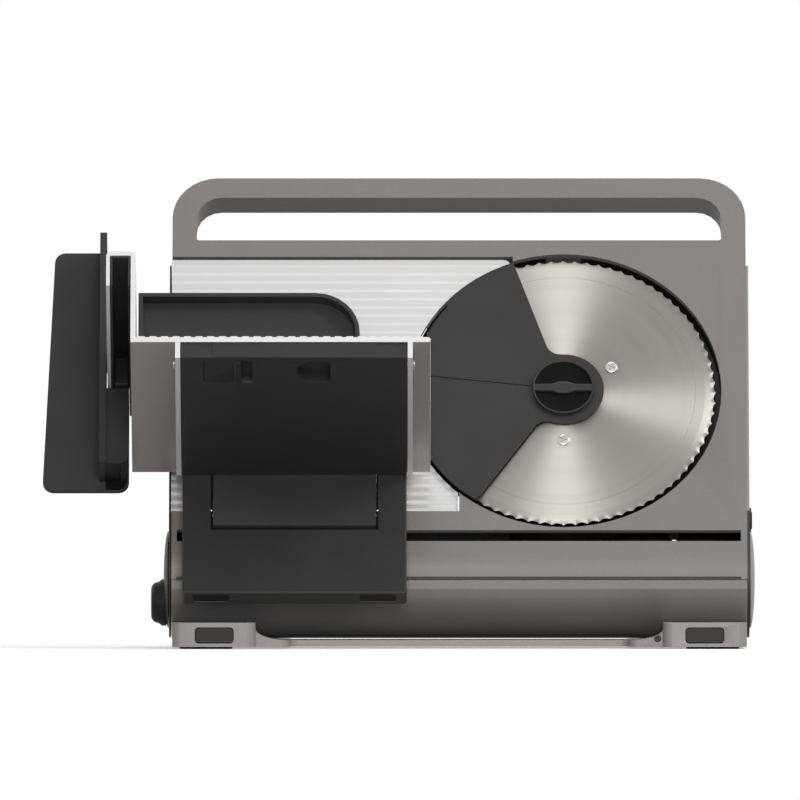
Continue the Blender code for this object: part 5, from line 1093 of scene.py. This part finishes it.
@dataclass
class Body(SubAssembly):
    """Leaning housing, its base and what is fixed to it."""

    moulded: tuple[str, ...] = ("side_cap_left", "motor_saddle", "switch_body", "switch_bezel")
    steel: tuple[str, ...] = ("motor", "gear_bush", "blade_axle", "slide_rail", "guide_rod_low",
                              "guide_rod_high")
    rounded: tuple[tuple[str, Slot, float], ...] = (
        ("front_panel", Slot.PANEL, 0.0003),
        ("lower_shell", Slot.SHELL, 0.0003),
        ("base_frame", Slot.LEG, 0.0004),
        ("foot_front_left", Slot.RUBBER, 0.0006),
        ("foot_front_right", Slot.RUBBER, 0.0006),
        ("foot_rear_left", Slot.RUBBER, 0.0006),
        ("foot_rear_right", Slot.RUBBER, 0.0006),
        ("leg_insert_left", Slot.DARK, 0.0004),
        ("leg_insert_right", Slot.DARK, 0.0004),
        ("cord_gland", Slot.RUBBER, 0.0005),
    )
    rear_screws: tuple[str, ...] = ("rear_screw_low_left", "rear_screw_low_right",
                                    "rear_screw_high_left", "rear_screw_high_right")
    screw_radius: float = 0.0035
    screw_head: float = 0.0016
    screw_crown: float = 0.0007
    screw_edge: float = 0.35        # share of the head's height at its rim
    recess_above: float = 0.4       # share of the head's height over which the recess is cut
    shank_radius: float = 0.0015
    shank_length: float = 0.0055
    recess_half: float = 0.0005
    recess_depth: float = 0.0009
    recess_reach: float = 0.6       # share of the screw's radius
    socket_radius: float = 0.0009
    socket_depth: float = 0.0012
    socket_flat: float = 0.92
    socket_chamfer: tuple[float, float] = (0.00015, 0.0002)
    socket_edge: float = 0.0003
    plate_face: float = 0.16005
    plate_round: float = 0.0002
    body_half: float = 0.1598
    drum_radius: float = 0.0325
    lip_outer: float = 0.0293
    lip_inner: float = 0.0283
    lip_turn: float = math.radians(8)
    shroud_turns: tuple[float, float] = (math.radians(107), math.radians(252))
    shroud_inner: float = 0.0785
    shroud_outer: float = 0.0870
    shroud_outer_right: float = 0.0876
    shroud_middle: float = 0.0872
    shroud_step_x: float = 0.0012   # where the gauge plate ends and the wider ring starts
    shroud_front: float = -0.0052
    shroud_back: float = -0.0060

    def side_plate(self, side: Side, name: str, slot: Slot, special: Special | None = None) -> None:
        """Side plate that reaches in to the housing, so that no light comes through the joint.

        Args:
            side: End of the machine.
            name: The solid that it replaces.
            slot: Its finish.
            special: Finish that stands in for the slot's common one.
        """
        plate = softened(f"{name}_fitted", self.node(name), self.plate_round)
        points = np.empty(len(plate.data.vertices) * 3)
        plate.data.vertices.foreach_get("co", points)
        points = points.reshape(-1, 3)
        reach = points[:, 0] * side.value
        points[reach < reach.min() + 0.1 * MM, 0] = side.value * self.plate_face + PANEL_ORIGIN[0]
        plate.data.vertices.foreach_set("co", points.ravel())
        self.fit(plate, slot, name, special=special)

    def drum_lip(self) -> None:
        """Builds the curved lip inside the drum, behind the seam of its two shells."""
        centre = on_panel(0, 0, -self.drum_radius)
        turn = np.linspace(-self.lip_turn, self.lip_turn, 9)[:, None, None]
        x = np.linspace(-self.body_half, self.body_half, 5)[None, :, None]
        level = FORWARD * np.cos(turn) + UPRIGHT * np.sin(turn)
        outer = centre + x * ALONG + self.lip_outer * level
        inner = centre + x * ALONG + self.lip_inner * level
        self.fit(slab("drum_seam_lip", outer, inner), Slot.SHELL)

    def edge_shade_sheet(self) -> None:
        """Builds a black ring sector behind the blade's rim, painted as the shade in the crescent that the
        plates leave open.
        """
        turn = np.linspace(*self.shroud_turns, 97)[:, None]
        before_step = BLADE_X + self.shroud_middle * np.cos(turn) < self.shroud_step_x
        outer = np.where(before_step, self.shroud_outer, self.shroud_outer_right)
        radii = self.shroud_inner + (outer - self.shroud_inner) * np.linspace(0, 1, 3)[None, :]
        x, t = BLADE_X + radii * np.cos(turn), BLADE_T + radii * np.sin(turn)
        rim_shade_sheet = slab("blade_rim_shade_sheet", on_panel(x, t, self.shroud_front),
                      on_panel(x, t, self.shroud_back))
        # The sheet is painted black as the shade in the gap behind the blade
        self.fit(rim_shade_sheet, Slot.DARK, special=Special.PAINTED_SHADE)

    def rear_screw(self, name: str) -> Piece:
        """Pan-head screw with a cross recess, on the back of the housing: height head - crown·s².

        Args:
            name: The solid that it replaces.

        Returns:
            The new object.
        """
        corners = np.array([v.co for v in self.node(name).data.vertices])
        centre = corners.mean(axis=0)
        centre = centre + OUT * ((corners @ OUT).min() + self.screw_head - centre @ OUT)
        radius, head, shank = self.screw_radius, self.screw_head, self.shank_radius
        profile = [(radius * s, head - self.screw_crown * s ** 2) for s in np.linspace(0, 0.97, 24)]
        profile += [(radius, head * self.screw_edge), (radius, 0.0), (shank, 0.0),
                    (shank, -self.shank_length), (0.0, -self.shank_length)]

        def cross(radii: np.ndarray, heights: np.ndarray,
                  angles: np.ndarray) -> tuple[np.ndarray, np.ndarray]:
            """Sinks the four arms of the recess, deeper towards the middle.

            Args:
                radii: Radius of each point.
                heights: Height of each point.
                angles: Angle of each point.

            Returns:
                The same radii, and new heights.
            """
            across = np.minimum(np.abs(np.sin(angles)), np.abs(np.cos(angles))) * radii
            arm = (across < self.recess_half) & (radii < self.recess_reach * radius)
            arm &= heights > head * self.recess_above
            return radii, heights - arm * self.recess_depth * (1 - radii / radius)

        return turned(f"{name}_pan_head", profile, centre, (ALONG, UP_PANEL, -OUT), 48, cross)

    def base_screw(self) -> Piece:
        """Socket screw in the base's front edge: the hexagon's radius is flat / cos(a mod 60°).

        Returns:
            The new object.
        """
        low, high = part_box("base_screw")
        centre = np.array([(low[0] + high[0]) / 2, low[1], (low[2] + high[2]) / 2])
        radius, length, socket = (high[0] - low[0]) / 2, high[1] - low[1], self.socket_radius
        wide, deep = self.socket_chamfer
        edge = self.socket_edge
        profile = [(0.0, -self.socket_depth), (socket, -self.socket_depth), (socket, -deep),
                   (socket + wide, 0.0), (radius - edge, 0.0), (radius, -edge), (radius, -length),
                   (0.0, -length)]

        def hexagon(radii: np.ndarray, heights: np.ndarray,
                    angles: np.ndarray) -> tuple[np.ndarray, np.ndarray]:
            """Makes the inner circle six-sided.

            Args:
                radii: Radius of each point.
                heights: Height of each point.
                angles: Angle of each point.

            Returns:
                New radii, and the same heights.
            """
            flat = radii * self.socket_flat / np.cos(np.mod(angles, math.pi / 3) - math.pi / 6)
            return np.where((radii > 0) & (radii < socket + wide / 2), flat, radii), heights

        return turned("base_screw_socket", profile, centre, (ALONG, UPRIGHT, FORWARD), 48, hexagon)

    def build(self) -> None:
        """Dresses the solids and adds the moulded and turned pieces."""
        self.paint(Slot.SHELL, "rear_shell")
        self.paint(Slot.LEG, "side_cap_right")
        self.paint(Slot.DARK, *self.moulded)
        self.paint(Slot.BRIGHT, *self.steel)
        self.paint(Slot.NYLON, "thickness_bearing")
        # The worm bearing is painted dark as the shade inside the housing
        self.paint(Slot.BRIGHT, "worm_bearing", special=Special.DARK_STEEL_AND_SHADE)
        self.side_plate(Side.LEFT, "side_plate_left", Slot.DARK)
        self.side_plate(Side.RIGHT, "side_plate_right", Slot.LEG, Special.SIDE_PLATE)
        self.drum_lip()
        self.edge_shade_sheet()
        for name, slot, width in self.rounded:
            self.round_over(name, slot, width)
        for name in self.rear_screws:
            self.fit(self.rear_screw(name), Slot.BRIGHT, name)
        self.fit(self.base_screw(), Slot.BRIGHT, "base_screw", special=Special.DARK_STEEL_AND_SHADE)


@dataclass
class Carriage(SubAssembly):
    """Slab that slides along the drum, with its shoes and hinge pins."""

    slab_round: float = 0.0005
    line_side: float = 0.0010
    line_low: float = 0.0008
    line_top: float = 0.047
    line_proud: float = 0.0001
    line_deep: float = 0.0005
    notch_low: float = 0.0055
    glint_radius: float = 0.0007
    glint_t: float = 0.017

    def notch_line(self, name: str, across: tuple[float, float], up: tuple[float, float],
                   front: float) -> None:
        """Black strip along one side of the notch, painted as the shade in its gap, crowned by proud·(1 -
        s²).

        Args:
            name: Name of the piece.
            across: Its left and right end.
            up: Its lower and upper end.
            front: How far the slab's face lies out of the panel.
        """
        x, t = np.linspace(*across, 5)[None, :], np.linspace(*up, 5)[:, None]
        crown = self.line_proud * (1 - np.linspace(-1, 1, 5)[None, :] ** 2)
        strip = slab(name, on_panel(x, t, front + crown), on_panel(x, t, front - self.line_deep))
        # The strip is painted black as the shade in the notch's gap
        self.fit(strip, Slot.SLAB, special=Special.PAINTED_SHADE)

    def build(self) -> None:
        """Dresses the solids, rounds the slab, and lines the notch that the tongue turns in with black
        strips of painted shade.
        """
        self.round_over("carriage_base", Slot.SLAB, self.slab_round)
        corners = np.array([v.co for v in self.node("carriage_base").data.vertices])
        front = float((corners @ OUT).max() - PANEL_ORIGIN @ OUT) + self.line_proud
        left, right = ((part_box(name)[0][0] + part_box(name)[1][0]) / 2 - PANEL_ORIGIN[0]
                       for name in ("hinge_pin_left", "hinge_pin_right"))
        side, floor = self.line_side, self.notch_low
        self.notch_line("notch_line_left", (left - side, left), (floor, self.line_top), front)
        self.notch_line("notch_line_right", (right, right + side), (floor, self.line_top), front)
        self.notch_line("notch_line_low", (left - side, right + side), (floor - self.line_low, floor),
                        front)
        radius = self.glint_radius
        dome = [(radius * math.sin(a), radius / 2 * math.cos(a)) for a in np.linspace(0, math.pi / 2, 7)]
        for name, x in (("pin_glint_left", left - side / 2), ("pin_glint_right", right + side / 2)):
            place = on_panel(x, self.glint_t, front)
            self.fit(turned(name, dome + [(0.0, -radius / 4)], place, steps=24), Slot.BRIGHT)
        self.paint(Slot.NYLON, "slide_shoe_left", "slide_shoe_right")
        self.paint(Slot.BRIGHT, "hinge_pin_left", "hinge_pin_right")


@dataclass
class Table(SubAssembly):
    """Extruded table on its moulded deck, with the channel's liner and the pins."""

    rounded: tuple[tuple[str, Slot, float, int], ...] = (
        ("carriage_table", Slot.LIGHT, 0.00035, 3),
        ("carriage_strut", Slot.DARK, 0.0004, 2),
        ("channel_liner", Slot.DARK, 0.0002, 2),
        ("table_pin_left", Slot.BRIGHT, 0.0003, 2),
        ("table_pin_right", Slot.BRIGHT, 0.0003, 2),
    )

    def build(self) -> None:
        """Rounds the pieces."""
        for name, slot, width, segments in self.rounded:
            self.round_over(name, slot, width, segments)


@dataclass
class Latch(SubAssembly):
    """Sliding latch under the table."""

    rounding: float = 0.0006

    def build(self) -> None:
        """Rounds the latch."""
        self.round_over("table_latch", Slot.SLAB, self.rounding, 3)


@dataclass
class Holder(SubAssembly):
    """Remnant holder: its runner, food plate, spikes and hand guard."""

    recess_left: float = -0.1962
    recess_right: float = -0.1842
    recess_low: float = 0.0311
    recess_high: float = 0.0470
    recess_corner: float = 0.0056
    recess_front: float = 0.01362
    recess_deep: float = 0.0004
    plate_round: float = 0.0005
    grip_round: float = 0.0006

    def guard_shade_sheet(self) -> None:
        """Builds a black sheet under the guard's block, painted as the shade of the deep recess there, with
        a round lower right corner.
        """
        x = np.linspace(self.recess_left, self.recess_right, 25)[None, :]
        corner = self.recess_corner
        reach = np.clip(x - (self.recess_right - corner), 0, None)
        low = self.recess_low + corner - np.sqrt(np.clip(corner ** 2 - reach ** 2, 0, None))
        t = low + (self.recess_high - low) * np.linspace(0, 1, 4)[:, None]
        recess = slab("guard_shade_sheet", on_panel(x, t, self.recess_front),
                      on_panel(x, t, self.recess_front - self.recess_deep))
        # The sheet is painted black as the shade of the recess
        self.fit(recess, Slot.DARK, special=Special.PAINTED_SHADE)

    def build(self) -> None:
        """Rounds the mouldings, dresses the spikes, and adds the black sheet of painted shade under the
        block.
        """
        self.guard_shade_sheet()
        self.round_over("food_plate", Slot.DARK, self.plate_round, 3)
        self.round_over("hand_guard", Slot.DARK, self.grip_round, 3, Special.GUARD)
        self.round_over("holder_runner", Slot.DARK, self.grip_round, 3)
        self.paint(Slot.BRIGHT, "spike_plate")


@dataclass
class Gauge(SubAssembly):
    """Gauge plate with soft waves across it, hollowed on the right to the blade's circle."""

    left: float = -0.1599
    right: float = -0.0004
    tip: float = 0.0296
    tip_corner: float = 0.005
    low: float = 0.0258
    high: float = 0.188
    pitch: float = 0.00533
    crest: float = -0.0019
    wave: float = 0.00025
    back: float = -0.005
    arc: float = 0.0873
    rows_per_wave: int = 12

    def right_end(self, t: np.ndarray) -> np.ndarray:
        """Right end of the plate: the circle x = X - √(R² - (t - T)²), or the nearer straight edge.

        Args:
            t: Heights up the panel.

        Returns:
            The plate's x at these heights.
        """
        reach = np.sqrt(np.clip(self.arc ** 2 - (t - BLADE_T) ** 2, 0, None))
        rise = np.clip(t - (self.high - self.tip_corner), 0, self.tip_corner)
        corner = self.tip_corner - np.sqrt(self.tip_corner ** 2 - rise ** 2)
        straight = np.where(t > BLADE_T, self.tip - corner, self.right)
        return np.minimum(straight, BLADE_X - reach)

    def build(self) -> None:
        """Builds the plate: its face is at d = crest - wave·(1 - cos(2πt/pitch))/2."""
        count = int((self.high - self.low) / self.pitch * self.rows_per_wave)
        t = np.linspace(self.low, self.high, count + 1)[:, None]
        x = self.left + (self.right_end(t) - self.left) * np.linspace(0, 1, 9)[None, :]
        face = self.crest - self.wave * (1 - np.cos(2 * np.pi * (self.high - t) / self.pitch)) / 2
        plate = slab("waved_gauge_plate", on_panel(x, t, face), on_panel(x, t, self.back), 40)
        self.fit(plate, Slot.LIGHT, "gauge_plate", special=Special.GAUGE)
        self.paint(Slot.NYLON, "gauge_bracket")


@dataclass
class Drive(SubAssembly):
    """A turning solid of the gear train or of the knob's shaft."""

    solid: str
    slot: Slot = Slot.NYLON
    special: Special | None = None

    def build(self) -> None:
        """Dresses the solid."""
        self.paint(self.slot, self.solid, special=self.special)


@dataclass
class Switch(SubAssembly):
    """Push button of the switch."""

    rounding: float = 0.0004

    def build(self) -> None:
        """Rounds the button."""
        self.round_over("switch_button", Slot.DARK, self.rounding, 3)


# Studio


@dataclass
class Softbox:
    """Rectangular lamp that looks at the machine."""

    name: str
    place: tuple[float, float, float]
    width: float
    height: float
    watts: float

    def build(self, aim: Vector) -> None:
        """Adds the lamp.

        Args:
            aim: Place that it looks at.
        """
        light = bpy.data.lights.new(self.name, "AREA")
        light.shape = "RECTANGLE"
        light.size = self.width
        light.size_y = self.height
        light.energy = self.watts
        lamp = bpy.data.objects.new(self.name, light)
        lamp.location = self.place
        lamp.rotation_euler = (aim - Vector(self.place)).to_track_quat("-Z", "Y").to_euler()
        bpy.context.scene.collection.objects.link(lamp)


def any_ray(tree: Tree, *kinds: str) -> Socket:
    """One for rays of any of some kinds, and zero for the others.

    Args:
        tree: Node tree to add to.
        kinds: Names of the kinds, as Light Path has them.

    Returns:
        The socket with the value.
    """
    rays = add(tree, "ShaderNodeLightPath")
    seen = rays.outputs[kinds[0]]
    for kind in kinds[1:]:
        either = add(tree, "ShaderNodeMath", {0: seen, 1: rays.outputs[kind]}, operation="MAXIMUM")
        seen = either.outputs[0]
    return seen


@dataclass
class Studio:
    """Pale studio with soft lamps, and the camera of a straight front view."""

    aim: tuple[float, float, float] = (0.0007, 0.0, 0.1379)
    distance: float = 18.53
    camera_reach: float = 60.0
    lens: float = 1500.0
    sensor: float = 36.0
    ambient: float = 0.35
    floor_half: float = 1.5
    floor_lift: float = 0.35
    floor_cloud_mm: float = 120
    pale: tuple[str, str] = ("FCFCFC", "F8F8F8")
    bounce: str = "A8A8A8"
    shadow_near: float = 0.22
    shadow_far: float = 0.55
    softboxes: tuple[Softbox, ...] = (
        Softbox("top_softbox", (0.09, 0.30, 2.1), 0.5, 0.9, 8.0),
        Softbox("right_softbox", (1.6, -0.81, 1.53), 0.3, 0.9, 22.0),
        Softbox("front_softbox", (0.09, -2.4, 0.75), 0.8, 1.2, 25.0),
    )

    def camera(self) -> None:
        """Adds the camera."""
        data = bpy.data.cameras.new("front_camera")
        data.lens = self.lens
        data.sensor_width = self.sensor
        data.clip_end = self.camera_reach
        camera = bpy.data.objects.new("front_camera", data)
        camera.location = Vector(self.aim) - Vector((0, self.distance, 0))
        camera.rotation_euler = (math.pi / 2, 0, 0)
        bpy.context.scene.collection.objects.link(camera)
        bpy.context.scene.camera = camera

    def world(self) -> None:
        """Makes the world white for the camera and in reflections, and softer as light."""
        world = bpy.data.worlds.new("studio")
        bpy.context.scene.world = world
        world.use_nodes = True
        tree = world.node_tree
        background = tree.nodes["Background"]
        seen = any_ray(tree, "Is Camera Ray", "Is Glossy Ray", "Is Transmission Ray")
        strength = add(tree, "ShaderNodeMapRange", {0: seen, 3: self.ambient, 4: 1.0}).outputs[0]
        background.inputs["Color"].default_value = WHITE
        tree.links.new(strength, background.inputs["Strength"])

    def floor(self) -> None:
        """Lays a pale floor that keeps the machine's shadow and turns white away from it."""
        half = self.floor_half
        mesh = bpy.data.meshes.new("studio_floor")
        mesh.from_pydata([(-half, -half, 0), (half, -half, 0), (half, half, 0), (-half, half, 0)], [],
                         [(0, 1, 2, 3)])
        floor = bpy.data.objects.new("studio_floor", mesh)
        batch = Batch("pale_floor")
        tree = batch.tree
        camera = any_ray(tree, "Is Camera Ray")
        cloud = add(tree, "ShaderNodeTexNoise",
                    {"Vector": batch.place, "Scale": per_mm(self.floor_cloud_mm), "Detail": 2.0})
        pale = batch.tone(cloud.outputs[0], (0.0, 1.0, 0.0, 1.0), *self.pale)
        tone = add(tree, "ShaderNodeMix", {0: camera, 6: linear(self.bounce), 7: pale}, data_type="RGBA")
        tree.links.new(tone.outputs[2], batch.shader.inputs["Base Color"])
        mesh.materials.append(batch.done(Roughness=0.8, Specular_IOR_Level=0.1))
        reach = add(tree, "ShaderNodeVectorMath", {0: batch.place}, operation="LENGTH").outputs["Value"]
        far = add(tree, "ShaderNodeMapRange", {0: reach, 1: self.shadow_near, 2: self.shadow_far})
        white = add(tree, "ShaderNodeMath", {0: far.outputs[0], 1: camera}, operation="MULTIPLY")
        glow, lift = (
            add(tree, "ShaderNodeEmission", {"Color": WHITE, "Strength": level}).outputs[0]
            for level in (1.0, self.floor_lift))
        mirrored = any_ray(tree, "Is Camera Ray", "Is Glossy Ray")
        seen = add(tree, "ShaderNodeMixShader", {0: mirrored, 2: lift}).outputs[0]
        near = add(tree, "ShaderNodeAddShader", {0: batch.shader.outputs[0], 1: seen}).outputs[0]
        blend = add(tree, "ShaderNodeMixShader", {0: white.outputs[0], 1: near, 2: glow}).outputs[0]
        tree.links.new(blend, tree.nodes["Material Output"].inputs["Surface"])
        bpy.context.scene.collection.objects.link(floor)

    def build(self) -> None:
        """Sets the picture's colour handling and builds the studio."""
        bpy.context.scene.view_settings.view_transform = "Standard"
        self.camera()
        self.world()
        self.floor()
        for softbox in self.softboxes:
            softbox.build(Vector(self.aim))


def main() -> None:
    """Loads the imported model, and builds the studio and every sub-assembly."""
    logging.basicConfig(level=logging.INFO, format="%(name)s: %(message)s")
    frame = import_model()
    Studio().build()
    finishes = Finishes()
    assemblies: list[SubAssembly] = [
        Body(frame, finishes, "machine"),
        Carriage(frame, finishes, "carriage"),
        Table(frame, finishes, "table"),
        Latch(frame, finishes, "latch"),
        Holder(frame, finishes, "holder"),
        Gauge(frame, finishes, "gauge"),
        SideKnob(frame, finishes, "thickness"),
        Drive(frame, finishes, "thickness", "thickness_shaft"),
        Cutter(frame, finishes, "cutter"),
        Drive(frame, finishes, "cutter", "blade_gear"),
        LockKnob(frame, finishes, "lock"),
        SectorCover(frame, finishes, "machine"),
        # The reduction gear is painted dark as the shade inside the housing
        Drive(frame, finishes, "reduction", "reduction_gear", special=Special.SHADE_DARKENED),
        # The motor shaft is painted dark as the shade inside the housing
        Drive(frame, finishes, "drive", "motor_shaft", Slot.BRIGHT, Special.DARK_STEEL_AND_SHADE),
        Switch(frame, finishes, "switch"),
    ]
    for assembly in assemblies:
        assembly.build()


if __name__ == "__main__":
    main()
